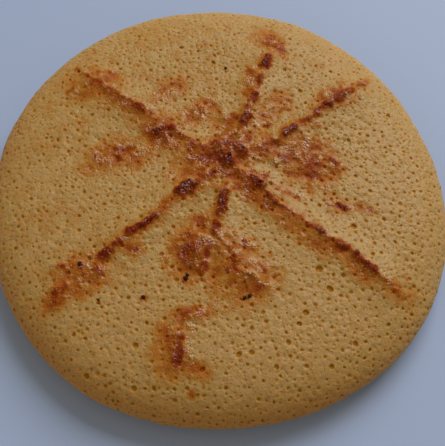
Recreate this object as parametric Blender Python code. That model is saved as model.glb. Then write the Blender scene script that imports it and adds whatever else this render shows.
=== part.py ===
"""Semolina griddle bread, as one solid.

A flat round loaf with a soft domed rim and a flat foot to lie on. Its top carries a star of seared
ridges that meet a little off the middle, clumps of toasted crust along them, low toasted patches
between them, and open pores in the pale crumb.

The skin is laid out flat first, as a round lattice of triangles in which every ring holds six more
points than the one inside it. Distance from the middle of that flat disc is distance along the
loaf's profile, from the crown over the rim to the edge of the foot.
"""

import bisect
import math
import random

import bmesh
import bpy
from mathutils import Vector, noise

MM = 0.001

# The loaf.
RADIUS = 57.0 * MM
CROWN = 13.6 * MM
BELLY = 5.6 * MM  # height of the widest ring
FOOT_TUCK = 5.5 * MM  # the flat foot's edge lies this far inside the widest ring
DOME_POWER = 7.0  # a higher power keeps the top flat for longer before it rolls over
LOBES = ((2, 0.98 * MM, -68.0), (3, 0.45 * MM, -24.0), (4, 0.37 * MM, -36.0))  # count, swell, degrees

# The skin.
RINGS = 29
PROFILE_STEPS = 600
LATTICE_SHIFT = 0.16  # share of a lattice step that each point is shifted by at random
SEED = 11
TOP_BLEND = 0.30  # share of the profile, up from the foot, over which the star's relief comes in
FOOT_BLEND = 0.08  # and over which the loaf's unevenness comes in
RIM_SHARE = 0.0001  # points closer than this to the foot's edge lie on the ground
SHARP_DEGREES = 50.0

# The star of seared ridges: each spoke runs along a few points (x, y) in mm.
SPOKES = {
    "south_west": ((3.0, 6.2), (-1.0, 2.7), (-8.0, -2.0), (-12.5, -7.0), (-18.5, -11.8), (-26.2, -18.4)),
    "north_west": ((2.0, 9.3), (-4.0, 10.4), (-12.0, 15.7), (-19.6, 21.8), (-30.0, 30.3), (-36.3, 35.6)),
    "north": ((4.8, 9.5), (7.2, 17.5), (9.7, 24.2), (11.5, 30.4), (13.3, 36.0), (16.8, 41.0)),
    "north_east": ((9.5, 9.6), (14.5, 11.8), (19.7, 15.2), (27.7, 21.6), (33.6, 26.2), (39.2, 30.7)),
    "south_east": ((3.4, 5.4), (9.8, -0.4), (13.0, -5.0), (21.0, -11.3), (28.8, -17.2), (42.0, -28.7)),
    "south": ((2.6, -0.6), (1.4, -6.2), (0.2, -9.6), (-0.6, -13.2)),
    "fan_west": ((-0.6, -13.2), (-4.8, -15.6), (-3.6, -22.6)),
    "fan_east": ((-0.6, -13.2), (3.2, -17.8), (5.2, -22.4), (10.4, -26.4)),
}
SWELL_HEIGHT = 1.15 * MM  # the broad swell that each spoke stands on
SWELL_SPREAD = 4.6 * MM
CREST_HEIGHT = 0.40 * MM
CREST_SPREAD = 0.8 * MM
SPOKE_TAPER = 7.0 * MM  # a ridge dies away over this length at its outer end

# Clumps of thicker crust: from (x, y) to (x, y), half width, all in mm, and toasting from 0 to 1.
CLUMPS = (
    (2.4, 6.6, 3.4, 5.6, 1.3, 1.00),
    (5.9, 8.9, 6.8, 7.8, 1.2, 0.95),
    (0.0, 10.9, 0.6, 10.4, 0.9, 0.80),
    (4.2, 10.4, 4.8, 9.8, 0.7, 0.75),
    (-4.6, -0.2, -6.0, -0.8, 1.0, 0.85),
    (-7.0, -1.4, -8.4, -2.4, 1.9, 1.00),
    (-12.6, -6.9, -13.6, -7.8, 0.8, 0.60),
    (-14.8, -9.0, -20.8, -13.4, 1.1, 0.90),
    (-22.6, -15.2, -23.6, -15.8, 0.8, 0.75),
    (-25.0, -17.6, -27.0, -18.6, 1.2, 0.85),
    (-11.4, 15.6, -15.0, 14.4, 1.3, 0.85),
    (-18.6, 21.2, -20.2, 22.0, 0.8, 0.85),
    (-35.6, 35.4, -36.6, 35.8, 0.7, 0.60),
    (6.8, 16.6, 7.8, 18.4, 1.2, 0.85),
    (8.0, 20.2, 8.4, 21.0, 1.0, 0.80),
    (9.3, 23.4, 9.9, 24.8, 0.9, 0.80),
    (11.2, 29.8, 11.8, 30.8, 0.8, 0.75),
    (13.0, 34.2, 13.6, 36.2, 1.3, 0.95),
    (16.6, 13.4, 19.6, 15.2, 0.9, 0.90),
    (22.0, 17.0, 22.8, 17.6, 0.6, 0.60),
    (25.2, 19.6, 28.4, 22.0, 1.0, 0.85),
    (30.4, 23.6, 34.0, 26.4, 1.1, 0.75),
    (37.0, 28.6, 38.8, 30.2, 0.7, 0.65),
    (9.0, 0.6, 10.8, -1.4, 1.2, 1.00),
    (12.0, -3.8, 13.6, -5.2, 0.8, 0.90),
    (28.2, -16.4, 29.4, -17.8, 1.1, 0.85),
    (31.2, -19.4, 35.6, -23.0, 0.8, 0.80),
    (40.6, -28.0, 42.4, -28.9, 0.8, 0.55),
    (1.9, -3.2, 1.2, -6.8, 1.2, 0.95),
    (-0.2, -10.8, -0.6, -12.8, 1.0, 0.90),
)
CLUMP_HEIGHT = 0.65 * MM

# Low toasted mounds: middle (x, y), half length, half width in mm, degrees, and toasting.
PATCHES = (
    (-5.2, -16.8, 3.8, 3.2, 100.0, 0.75),
    (-3.5, -22.4, 1.8, 1.2, 80.0, 0.65),
    (3.6, -21.6, 3.4, 2.0, -60.0, 0.60),
    (10.0, -25.8, 2.6, 1.8, 30.0, 0.60),
    (-32.0, -21.4, 5.6, 1.4, -8.0, 0.65),
    (-36.6, -27.6, 3.2, 2.2, 40.0, 0.75),
    (-9.0, -41.6, 4.0, 1.9, 84.0, 0.80),
    (-5.6, -32.6, 2.4, 1.5, 15.0, 0.45),
    (-23.0, 8.6, 6.2, 2.7, 12.0, 0.55),
    (-33.0, 30.2, 5.6, 2.2, 28.0, 0.45),
    (-13.4, 26.4, 4.0, 2.0, 55.0, 0.35),
    (-3.6, 21.6, 3.6, 2.0, 35.0, 0.45),
    (17.0, 40.4, 1.9, 1.2, 10.0, 0.75),
    (14.2, 44.0, 1.8, 1.3, 60.0, 0.60),
    (15.6, 6.6, 2.4, 1.8, 20.0, 0.55),
    (22.8, 6.0, 3.4, 3.0, -50.0, 0.50),
    (28.6, 5.6, 2.4, 1.2, -50.0, 0.60),
    (32.2, 11.4, 2.4, 1.0, -45.0, 0.45),
    (29.6, -6.4, 1.7, 1.0, -10.0, 0.80),
)
PATCH_HEIGHT = 0.50 * MM

# The even unevenness of hand-spread batter, and the crags of toasted crust.
HEAVE_HEIGHT = 0.30 * MM
HEAVE_SIZE = 15.0 * MM
CRAG_HEIGHT = 0.28 * MM
CRAG_SIZE = 2.4 * MM

# Pores large enough to be pits in the solid. The finest are too small for its triangles.
# The widest have places of their own, as (x, y, radius) in mm, and the rest are scattered.
WIDE_PORES = (
    (23.2, -22.5, 0.90),
    (25.4, -27.4, 0.90),
    (19.6, -33.0, 0.75),
    (18.0, -35.6, 0.65),
    (15.4, -39.8, 0.70),
    (30.4, -40.0, 0.75),
    (4.4, -42.4, 0.80),
    (7.2, -42.0, 0.65),
    (12.6, -45.2, 0.65),
    (-3.6, -45.6, 0.75),
    (24.8, -45.0, 0.65),
    (-18.4, -40.0, 0.70),
    (-18.6, -49.2, 0.70),
    (-14.2, -49.4, 0.65),
    (-29.2, -46.0, 0.75),
    (-29.6, -19.2, 0.60),
    (32.0, -11.8, 0.75),
    (43.6, 20.0, 0.70),
    (21.4, 26.8, 0.65),
    (-0.6, 36.0, 0.70),
    (-9.0, 41.2, 0.65),
    (-13.0, -18.4, 0.60),
    (33.6, 1.8, 0.55),
    (-47.4, -15.6, 0.55),
)
PORE_COUNT = 130
PORE_RADII = (0.45 * MM, 0.70 * MM)
PORE_DEPTH = 1.2  # in radii
PORE_FLOOR = 0.6  # the floor's width as a share of the mouth's
PORE_GAP = 2.5  # the least distance between two pores, in lattice steps
FRONT_SHARE = 0.75  # chance that a pore opens at a point in front of the middle, and behind it
BACK_SHARE = 0.35

CRUMB_COLOUR = (0.51, 0.285, 0.088, 1.0)
CRUMB_ROUGHNESS = 0.72


def smooth_step(value):
    value = min(max(value, 0.0), 1.0)
    return value * value * (3.0 - 2.0 * value)


def loaf_radius(angle):
    """Distance from the loaf's axis to its widest ring, at this angle."""
    return RADIUS + sum(swell * math.cos(count * (angle - math.radians(at))) for count, swell, at in LOBES)


def profile_points():
    """The loaf's profile at its mean radius, as (radius, height), from the crown to the foot's edge."""
    points = []
    for step in range(PROFILE_STEPS + 1):
        share = math.sin(0.5 * math.pi * step / PROFILE_STEPS)
        points.append((RADIUS * share, BELLY + (CROWN - BELLY) * math.sqrt(1.0 - share**DOME_POWER)))
    for step in range(1, PROFILE_STEPS + 1):
        turn = 0.5 * math.pi * step / PROFILE_STEPS
        points.append((RADIUS - FOOT_TUCK * (1.0 - math.cos(turn)), BELLY * (1.0 - math.sin(turn))))
    return points


class Profile:
    """The profile as a function of the distance along it."""

    def __init__(self):
        self.points = profile_points()
        self.marks = [0.0]
        for (r0, z0), (r1, z1) in zip(self.points, self.points[1:]):
            self.marks.append(self.marks[-1] + math.hypot(r1 - r0, z1 - z0))
        self.length = self.marks[-1]

    def at(self, distance):
        """(radius, height) and the outward normal (radial, up) at this distance from the crown."""
        low = min(max(bisect.bisect_right(self.marks, distance) - 1, 0), len(self.marks) - 2)
        (r0, z0), (r1, z1) = self.points[low], self.points[low + 1]
        span = self.marks[low + 1] - self.marks[low]
        share = min(max((distance - self.marks[low]) / span, 0.0), 1.0)
        return (r0 + share * (r1 - r0), z0 + share * (z1 - z0)), ((z0 - z1) / span, (r1 - r0) / span)


def segment_distance(x, y, start, end):
    """Distance from (x, y) to the segment, and the share of its length at the nearest point. All in mm."""
    dx, dy = end[0] - start[0], end[1] - start[1]
    share = min(max(((x - start[0]) * dx + (y - start[1]) * dy) / (dx * dx + dy * dy), 0.0), 1.0)
    return math.hypot(x - start[0] - share * dx, y - start[1] - share * dy), share


def line_distance(x, y, line):
    """Distance in mm from (x, y) to the line, and the share of the line's length at the nearest point."""
    lengths = [math.dist(a, b) for a, b in zip(line, line[1:])]
    before, nearest, where = 0.0, float("inf"), 0.0
    for start, end, length in zip(line, line[1:], lengths):
        distance, share = segment_distance(x, y, start, end)
        if distance < nearest:
            nearest, where = distance, before + share * length
        before += length
    return nearest, where / before, before


def spoke_relief(x, y, line):
    """(swell, crest) of one spoke at (x, y) in mm."""
    distance, share, length = line_distance(x, y, line)
    taper = smooth_step((1.0 - share) * length * MM / SPOKE_TAPER + 0.25)
    swell = SWELL_HEIGHT * taper * math.exp(-((distance * MM / SWELL_SPREAD) ** 2))
    crest = CREST_HEIGHT * taper * math.exp(-((distance * MM / CREST_SPREAD) ** 2))
    return swell, crest


def clump_relief(x, y, clump):
    x0, y0, x1, y1, half_width, toasting = clump
    distance, _ = segment_distance(x, y, (x0, y0), (x1, y1))
    return CLUMP_HEIGHT * toasting * smooth_step(1.5 - distance / half_width)


def patch_relief(x, y, patch):
    centre_x, centre_y, half_length, half_width, degrees, toasting = patch
    turn = math.radians(degrees)
    along = (x - centre_x) * math.cos(turn) + (y - centre_y) * math.sin(turn)
    across = (y - centre_y) * math.cos(turn) - (x - centre_x) * math.sin(turn)
    reach = math.hypot(along / half_length, across / half_width)
    return PATCH_HEIGHT * toasting * smooth_step(1.6 - reach)


def star_relief(x, y):
    """Height of the star and patches above the plain dome at (x, y) in mm, and how seared it is, 0 to 1."""
    spokes = [spoke_relief(x, y, line) for line in SPOKES.values()]
    swell = sum(swell**3 for swell, _ in spokes) ** (1.0 / 3.0)
    crest = max(crest for _, crest in spokes)
    clump = max(clump_relief(x, y, clump) for clump in CLUMPS)
    mound = max(patch_relief(x, y, patch) for patch in PATCHES)
    seared = min(1.0, crest / CREST_HEIGHT + 2.0 * clump / CLUMP_HEIGHT + 2.0 * mound / PATCH_HEIGHT)
    return swell + crest + clump + mound, seared


def heave(place, size, seed):
    """Smooth noise from about -1 to 1, with features of this size."""
    return noise.noise(place / size + Vector((seed, 0.0, 0.0)))


class Skin:
    """The loaf's surface as a function of a point on the flat disc."""

    def __init__(self):
        self.profile = Profile()
        self.length = self.profile.length

    def smooth_place(self, flat):
        """The place of a flat point on the plain dome, and the outward normal there."""
        angle = math.atan2(flat.y, flat.x)
        (radius, height), (out, up) = self.profile.at(flat.length)
        radius *= loaf_radius(angle) / RADIUS
        place = Vector((radius * math.cos(angle), radius * math.sin(angle), height))
        return place, Vector((out * math.cos(angle), out * math.sin(angle), up))

    def seared(self, flat):
        place, _ = self.smooth_place(flat)
        return star_relief(place.x / MM, place.y / MM)[1]

    def place(self, flat, depth):
        """The place of a flat point on the loaf, sunk by this depth."""
        place, normal = self.smooth_place(flat)
        to_foot = 1.0 - flat.length / self.length
        if to_foot < RIM_SHARE:
            return Vector((place.x, place.y, 0.0))
        on_top = smooth_step(to_foot / TOP_BLEND - 0.35)
        relief, seared = star_relief(place.x / MM, place.y / MM)
        rise = (relief + CRAG_HEIGHT * heave(place, CRAG_SIZE, 9.0) * seared) * on_top
        rise += HEAVE_HEIGHT * heave(place, HEAVE_SIZE, 3.0) * smooth_step(to_foot / FOOT_BLEND)
        return place + normal * (rise - depth)


def lattice(rings, step):
    """A flat round bmesh of triangles. Ring k is a circle of 6 k points, so triangles keep their size."""
    mesh = bmesh.new()
    points = [[mesh.verts.new((0.0, 0.0, 0.0))]]
    for ring in range(1, rings + 1):
        turns = [math.radians(60.0 * i / ring) for i in range(6 * ring)]
        circle = [Vector((math.cos(turn), math.sin(turn), 0.0)) * ring * step for turn in turns]
        points.append([mesh.verts.new(place) for place in circle])
    for ring in range(1, rings + 1):
        inner, outer = points[ring - 1], points[ring]
        for sector in range(6):
            for i in range(ring):
                near = inner[(sector * (ring - 1) + i) % len(inner)]
                first = outer[sector * ring + i]
                second = outer[(sector * ring + i + 1) % len(outer)]
                mesh.faces.new((near, first, second))
                if i < ring - 1:
                    mesh.faces.new((near, second, inner[(sector * (ring - 1) + i + 1) % len(inner)]))
    return mesh


def triangulate(mesh):
    bmesh.ops.triangulate(mesh, faces=[face for face in mesh.faces if len(face.verts) > 3])


def shift_points(mesh, step):
    """Moves each inner point a little, so that the lattice doesn't show."""
    draw = random.Random(SEED)
    for vertex in mesh.verts:
        angle, length = draw.uniform(0.0, 2.0 * math.pi), draw.uniform(0.0, LATTICE_SHIFT * step)
        if not vertex.is_boundary:
            vertex.co += Vector((math.cos(angle), math.sin(angle), 0.0)) * length


def refine_seared_crust(mesh, skin):
    """Halves the lattice under the ridges, clumps and patches."""
    seared = {vertex for vertex in mesh.verts if skin.seared(vertex.co) > 0.35}
    edges = [edge for edge in mesh.edges if seared.intersection(edge.verts)]
    bmesh.ops.subdivide_edges(mesh, edges=edges, cuts=1, use_grid_fill=True)
    triangulate(mesh)


def wide_pores(mesh, skin):
    """(point, radius) of the lattice point nearest to each wide pore."""
    pores = []
    for x, y, radius in WIDE_PORES:
        there = Vector((x * MM, y * MM, 0.0))
        nearest = min(mesh.verts, key=lambda vertex: (skin.smooth_place(vertex.co)[0].xy - there.xy).length)
        pores.append((nearest, radius * MM))
    return pores


def scattered_pores(mesh, skin, pores, step):
    """Adds (point, radius) of pores in the pale crumb, clear of each other, and more of them in front."""
    draw = random.Random(SEED + 1)
    mesh.verts.ensure_lookup_table()
    while len(pores) < PORE_COUNT:
        vertex = mesh.verts[draw.randrange(len(mesh.verts))]
        radius = draw.uniform(*PORE_RADII)
        wanted = draw.random() < (FRONT_SHARE if vertex.co.y < 0.0 else BACK_SHARE)
        clear = all((vertex.co - other.co).length > PORE_GAP * step for other, _ in pores)
        roomy = min(edge.calc_length() for edge in vertex.link_edges) > 0.7 * step
        off_foot = vertex.co.length < skin.length - 3.0 * step
        if wanted and clear and roomy and off_foot and skin.seared(vertex.co) < 0.1:
            pores.append((vertex, radius))
    return pores


def open_pores(mesh, pores, sink):
    """Cuts a mouth round each pore's point, and sinks a smaller floor inside it."""
    for vertex, radius in pores:
        middle = vertex.co.copy()
        cut = bmesh.ops.bevel(mesh, geom=[vertex], offset=radius, affect="VERTICES", segments=1)
        mouth = min(cut["faces"], key=lambda face: (face.calc_center_median() - middle).length)
        bmesh.ops.inset_individual(mesh, faces=[mouth], thickness=radius * (1.0 - PORE_FLOOR))
        for corner in mouth.verts:
            corner[sink] = PORE_DEPTH * radius


def close_foot(mesh):
    bmesh.ops.edgeloop_fill(mesh, edges=[edge for edge in mesh.edges if edge.is_boundary])
    triangulate(mesh)
    bmesh.ops.recalc_face_normals(mesh, faces=mesh.faces)


def centre(mesh):
    """Puts the middle of the loaf's box over the origin."""
    across = [vertex.co.x for vertex in mesh.verts]
    along = [vertex.co.y for vertex in mesh.verts]
    middle = Vector((min(across) + max(across), min(along) + max(along), 0.0)) / 2.0
    bmesh.ops.translate(mesh, vec=-middle, verts=mesh.verts)


def make_loaf():
    skin = Skin()
    step = skin.length / RINGS
    mesh = lattice(RINGS, step)
    sink = mesh.verts.layers.float.new("sink")
    shift_points(mesh, step)
    refine_seared_crust(mesh, skin)
    open_pores(mesh, scattered_pores(mesh, skin, wide_pores(mesh, skin), step), sink)
    for vertex in mesh.verts:
        vertex.co = skin.place(vertex.co, vertex[sink])
    close_foot(mesh)
    centre(mesh)
    data = bpy.data.meshes.new("bread")
    mesh.to_mesh(data)
    mesh.free()
    data.shade_smooth()
    data.set_sharp_from_angle(angle=math.radians(SHARP_DEGREES))
    return bpy.data.objects.new("bread", data)


def crumb_material():
    material = bpy.data.materials.new("toasted_crumb")
    material.use_nodes = True
    shader = material.node_tree.nodes["Principled BSDF"]
    shader.inputs["Base Color"].default_value = CRUMB_COLOUR
    shader.inputs["Roughness"].default_value = CRUMB_ROUGHNESS
    return material


def main():
    for old in list(bpy.data.objects):
        bpy.data.objects.remove(old)
    bread = make_loaf()
    bread.data.materials.append(crumb_material())
    bpy.context.scene.collection.objects.link(bread)


main()
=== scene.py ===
# %% [markdown]
# # A semolina griddle bread
#
# The real thing is a poured or patted round of semolina dough, cooked on a griddle. Gas leaves through the
# top while the crumb sets, so the pale crust is full of fine open pores. Where the dough was drawn into
# ridges, it sears: thin lines of red-brown crust, with dark lumps on them.
#
# The construction solid already has the loaf's true form. These cells give it its skin:
#
# 1. the loaf's form, as functions that wrap a flat round sheet over it;
# 2. the seared star: how high its crust stands, and how toasted it is;
# 3. a pattern of pores, scattered by Geometry Nodes on the flat sheet;
# 4. the sheet knitted together round the pores, and wrapped over the loaf;
# 5. the finish of the crust;
# 6. toasted grains and charred specks, laid on the wrapped crust by Geometry Nodes;
# 7. the floor, the light and the camera.

import math

import bmesh
import bpy
import numpy as np
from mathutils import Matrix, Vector, kdtree, noise
from mathutils.geometry import delaunay_2d_cdt


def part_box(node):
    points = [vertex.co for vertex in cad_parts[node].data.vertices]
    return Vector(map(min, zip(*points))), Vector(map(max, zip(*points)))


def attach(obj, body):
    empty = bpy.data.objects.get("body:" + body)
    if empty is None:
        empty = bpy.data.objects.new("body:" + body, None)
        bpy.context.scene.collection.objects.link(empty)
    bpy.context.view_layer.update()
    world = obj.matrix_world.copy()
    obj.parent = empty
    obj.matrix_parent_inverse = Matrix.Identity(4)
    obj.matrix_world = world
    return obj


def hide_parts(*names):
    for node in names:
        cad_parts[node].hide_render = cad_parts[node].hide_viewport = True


MM = 0.001
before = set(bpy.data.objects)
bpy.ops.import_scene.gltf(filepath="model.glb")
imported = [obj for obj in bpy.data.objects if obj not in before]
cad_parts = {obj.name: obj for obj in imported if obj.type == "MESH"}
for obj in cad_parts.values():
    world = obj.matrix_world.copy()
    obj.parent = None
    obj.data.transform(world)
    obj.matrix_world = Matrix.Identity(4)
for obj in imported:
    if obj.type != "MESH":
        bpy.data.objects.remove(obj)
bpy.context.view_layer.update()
low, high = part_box("bread")
print("the solid measures, in mm:", [round(size / MM, 1) for size in high - low])

# %% [markdown]
# ## The loaf's form
#
# On the real bread, the top is nearly flat, rolls over a soft rim, and tucks in to a flat foot. That could
# be modelled as a squashed sphere with a subdivision surface, but then nothing ties it to the solid.
# Instead the profile is written as a curve, from the crown over the rim to the foot's edge, and every
# point of the skin is found by its distance along that curve. A flat disc whose radius is the profile's
# length can then be wrapped over the loaf, and anything laid out on the disc goes with it.

# %% Sizes of the loaf
RADIUS = 57.0 * MM
CROWN = 13.6 * MM
BELLY = 5.6 * MM  # height of the widest ring
FOOT_TUCK = 5.5 * MM  # the flat foot's edge lies this far inside the widest ring
FOOT_RADIUS = RADIUS - FOOT_TUCK
DOME_POWER = 7.0
LOBES = ((2, 0.98 * MM, -68.0), (3, 0.45 * MM, -24.0), (4, 0.37 * MM, -36.0))  # count, swell, degrees
PROFILE_STEPS = 600

# %% The profile, from the crown to the foot's edge
quarter = np.linspace(0.0, 0.5 * math.pi, PROFILE_STEPS + 1)
dome_share = np.sin(quarter)
dome_height = BELLY + (CROWN - BELLY) * np.sqrt(1.0 - dome_share**DOME_POWER)
dome = np.stack((RADIUS * dome_share, dome_height), axis=1)
tuck = np.stack((RADIUS - FOOT_TUCK * (1.0 - np.cos(quarter)), BELLY * (1.0 - np.sin(quarter))), axis=1)
profile = np.concatenate((dome, tuck[1:]))
spans = np.linalg.norm(np.diff(profile, axis=0), axis=1)
slopes = np.diff(profile, axis=0) / spans[:, None]
stations = np.concatenate(([0.0], np.cumsum(spans)))  # way along the skin from the crown
span_middles = 0.5 * (stations[1:] + stations[:-1])
LENGTH = stations[-1]
print("from the crown to the foot's edge the skin measures", round(LENGTH / MM, 1), "mm")


# %% The wrap from the flat disc to the loaf
def polar(flat):
    """Angle and distance from the middle of flat points (N, 2)."""
    return np.arctan2(flat[:, 1], flat[:, 0]), np.hypot(flat[:, 0], flat[:, 1])


def heading(angle):
    """Flat unit vectors (N, 2) at these angles."""
    return np.stack((np.cos(angle), np.sin(angle)), axis=1)


def loaf_radius(angle):
    """Distance from the loaf's axis to its widest ring, at each angle."""
    return RADIUS + sum(swell * np.cos(count * (angle - math.radians(at))) for count, swell, at in LOBES)


def wrap(flat):
    """Places on the plain dome of flat points (N, 2), and the outward normals there."""
    angle, distance = polar(flat)
    radius = np.interp(distance, stations, profile[:, 0]) * loaf_radius(angle) / RADIUS
    height = np.interp(distance, stations, profile[:, 1])
    outward = -np.interp(distance, span_middles, slopes[:, 1])
    up = np.interp(distance, span_middles, slopes[:, 0])
    around = heading(angle)
    places = np.column_stack((around * radius[:, None], height))
    return places, np.column_stack((around * outward[:, None], up))


def unwrap(spots):
    """Flat points (N, 2) that wrap to these (x, y) on the top, in metres."""
    angle, radius = polar(spots)
    distance = np.interp(radius * RADIUS / loaf_radius(angle), dome[:, 0], stations[: len(dome)])
    return heading(angle) * distance[:, None]


# %% [markdown]
# ## The seared star
#
# Six low ridges run out from a point a little off the middle, and the front one forks in two. Each is a
# broad swell with a narrow crest on it, and thick clumps of crust sit along the crest. Between them lie
# low toasted mounds. They could be sculpted, but a short list of lines, clumps and mounds, in mm, says the
# same thing in a form that can be read and changed. Two maps come from it: the height of the crust, and
# how toasted it is. The lines, clumps and mounds are the solid's own. Only the crests are a tenth of a
# millimetre lower, because knobs of crust will stand on them.

# %% Ridges, clumps and mounds, in mm
SPOKES = {
    "south_west": ((3.0, 6.2), (-1.0, 2.7), (-8.0, -2.0), (-12.5, -7.0), (-18.5, -11.8), (-26.2, -18.4)),
    "north_west": ((2.0, 9.3), (-4.0, 10.4), (-12.0, 15.7), (-19.6, 21.8), (-30.0, 30.3), (-36.3, 35.6)),
    "north": ((4.8, 9.5), (7.2, 17.5), (9.7, 24.2), (11.5, 30.4), (13.3, 36.0), (16.8, 41.0)),
    "north_east": ((9.5, 9.6), (14.5, 11.8), (19.7, 15.2), (27.7, 21.6), (33.6, 26.2), (39.2, 30.7)),
    "south_east": ((3.4, 5.4), (9.8, -0.4), (13.0, -5.0), (21.0, -11.3), (28.8, -17.2), (42.0, -28.7)),
    "south": ((2.6, -0.6), (1.4, -6.2), (0.2, -9.6), (-0.6, -13.2)),
    "fan_west": ((-0.6, -13.2), (-4.8, -15.6), (-3.6, -22.6)),
    "fan_east": ((-0.6, -13.2), (3.2, -17.8), (5.2, -22.4), (10.4, -26.4)),
}

# From (x, y) to (x, y), half width, and toasting from 0 to 1.
CLUMPS = (
    (2.4, 6.6, 3.4, 5.6, 1.3, 1.00),
    (5.9, 8.9, 6.8, 7.8, 1.2, 0.95),
    (0.0, 10.9, 0.6, 10.4, 0.9, 0.80),
    (4.2, 10.4, 4.8, 9.8, 0.7, 0.75),
    (-4.6, -0.2, -6.0, -0.8, 1.0, 0.85),
    (-7.0, -1.4, -8.4, -2.4, 1.9, 1.00),
    (-12.6, -6.9, -13.6, -7.8, 0.8, 0.60),
    (-14.8, -9.0, -20.8, -13.4, 1.1, 0.90),
    (-22.6, -15.2, -23.6, -15.8, 0.8, 0.75),
    (-25.0, -17.6, -27.0, -18.6, 1.2, 0.85),
    (-11.4, 15.6, -15.0, 14.4, 1.3, 0.85),
    (-18.6, 21.2, -20.2, 22.0, 0.8, 0.85),
    (-35.6, 35.4, -36.6, 35.8, 0.7, 0.60),
    (6.8, 16.6, 7.8, 18.4, 1.2, 0.85),
    (8.0, 20.2, 8.4, 21.0, 1.0, 0.80),
    (9.3, 23.4, 9.9, 24.8, 0.9, 0.80),
    (11.2, 29.8, 11.8, 30.8, 0.8, 0.75),
    (13.0, 34.2, 13.6, 36.2, 1.3, 0.95),
    (16.6, 13.4, 19.6, 15.2, 0.9, 0.90),
    (22.0, 17.0, 22.8, 17.6, 0.6, 0.60),
    (25.2, 19.6, 28.4, 22.0, 1.0, 0.85),
    (30.4, 23.6, 34.0, 26.4, 1.1, 0.75),
    (37.0, 28.6, 38.8, 30.2, 0.7, 0.65),
    (9.0, 0.6, 10.8, -1.4, 1.2, 1.00),
    (12.0, -3.8, 13.6, -5.2, 0.8, 0.90),
    (28.2, -16.4, 29.4, -17.8, 1.1, 0.85),
    (31.2, -19.4, 35.6, -23.0, 0.8, 0.80),
    (40.6, -28.0, 42.4, -28.9, 0.8, 0.55),
    (1.9, -3.2, 1.2, -6.8, 1.2, 0.95),
    (-0.2, -10.8, -0.6, -12.8, 1.0, 0.90),
)

# Middle (x, y), half length, half width, degrees, and toasting.
MOUNDS = (
    (-5.2, -16.8, 3.8, 3.2, 100.0, 0.75),
    (-3.5, -22.4, 1.8, 1.2, 80.0, 0.65),
    (3.6, -21.6, 3.4, 2.0, -60.0, 0.60),
    (10.0, -25.8, 2.6, 1.8, 30.0, 0.60),
    (-32.0, -21.4, 5.6, 1.4, -8.0, 0.65),
    (-36.6, -27.6, 3.2, 2.2, 40.0, 0.75),
    (-9.0, -41.6, 4.0, 1.9, 84.0, 0.80),
    (-5.6, -32.6, 2.4, 1.5, 15.0, 0.45),
    (-23.0, 8.6, 6.2, 2.7, 12.0, 0.55),
    (-33.0, 30.2, 5.6, 2.2, 28.0, 0.45),
    (-13.4, 26.4, 4.0, 2.0, 55.0, 0.35),
    (-3.6, 21.6, 3.6, 2.0, 35.0, 0.45),
    (17.0, 40.4, 1.9, 1.2, 10.0, 0.75),
    (14.2, 44.0, 1.8, 1.3, 60.0, 0.60),
    (15.6, 6.6, 2.4, 1.8, 20.0, 0.55),
    (22.8, 6.0, 3.4, 3.0, -50.0, 0.50),
    (28.6, 5.6, 2.4, 1.2, -50.0, 0.60),
    (32.2, 11.4, 2.4, 1.0, -45.0, 0.45),
    (29.6, -6.4, 1.7, 1.0, -10.0, 0.80),
)


# %% How near each spot is to a line, a clump or an oval
def smooth_step(value):
    value = np.clip(value, 0.0, 1.0)
    return value * value * (3.0 - 2.0 * value)


def coming_in(distance, over, start=0.0):
    """0 at first, rising softly to 1 over this distance. The start is a share of it."""
    return smooth_step(distance / over - start)


def bell(distance, spread):
    """1 on a line, falling softly to 0 beside it."""
    return np.exp(-((distance / spread) ** 2))


def segment_distance(spots, start, end):
    """Distance in mm of each spot (N, 2) from a segment, and the share of its length at the nearest point."""
    start, along = np.array(start), np.subtract(end, start)
    share = np.clip((spots - start) @ along / (along @ along), 0.0, 1.0)
    return np.linalg.norm(spots - start - share[:, None] * along, axis=1), share


def line_distance(spots, line):
    """Distance in mm of each spot from a line of points, and the way in mm from there to the line's end."""
    nearest, to_end = np.full(len(spots), np.inf), np.zeros(len(spots))
    left = sum(math.dist(start, end) for start, end in zip(line, line[1:]))
    for start, end in zip(line, line[1:]):
        distance, share = segment_distance(spots, start, end)
        closer = distance < nearest
        nearest = np.where(closer, distance, nearest)
        to_end = np.where(closer, left - share * math.dist(start, end), to_end)
        left -= math.dist(start, end)
    return nearest, to_end


def oval_reach(spots, oval):
    """0 in the middle of an oval mound or stain, 1 at its edge."""
    x, y, half_length, half_width, degrees, _ = oval
    turn = math.radians(degrees)
    offset = spots - np.array((x, y))
    along = offset @ (math.cos(turn), math.sin(turn)) / half_length
    across = offset @ (-math.sin(turn), math.cos(turn)) / half_width
    return np.hypot(along, across)


# %% Loosening the drawn lines
# How far in mm, size of the waves, and seeds. A whole stretch of a line wanders, and its edge frays.
STRAYS = ((0.6, 3.2 * MM, (21.0, 47.0)), (0.5, 1.1 * MM, (5.0, 33.0)))


def noise_at(places, size, seed):
    """Smooth noise of about -1 to 1 at each place, with features of this size."""
    shift = Vector((seed, 0.5 * seed, 0.0))
    return np.array([noise.noise(Vector(place) / size + shift) for place in places])


def strayed(places):
    """Spots in mm, moved a little this way and that, so that no line or edge of the star looks drawn."""
    spots = places[:, :2] / MM
    for reach, size, seeds in STRAYS:
        spots = spots + reach * np.stack([noise_at(places, size, seed) for seed in seeds], axis=1)
    return spots
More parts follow.
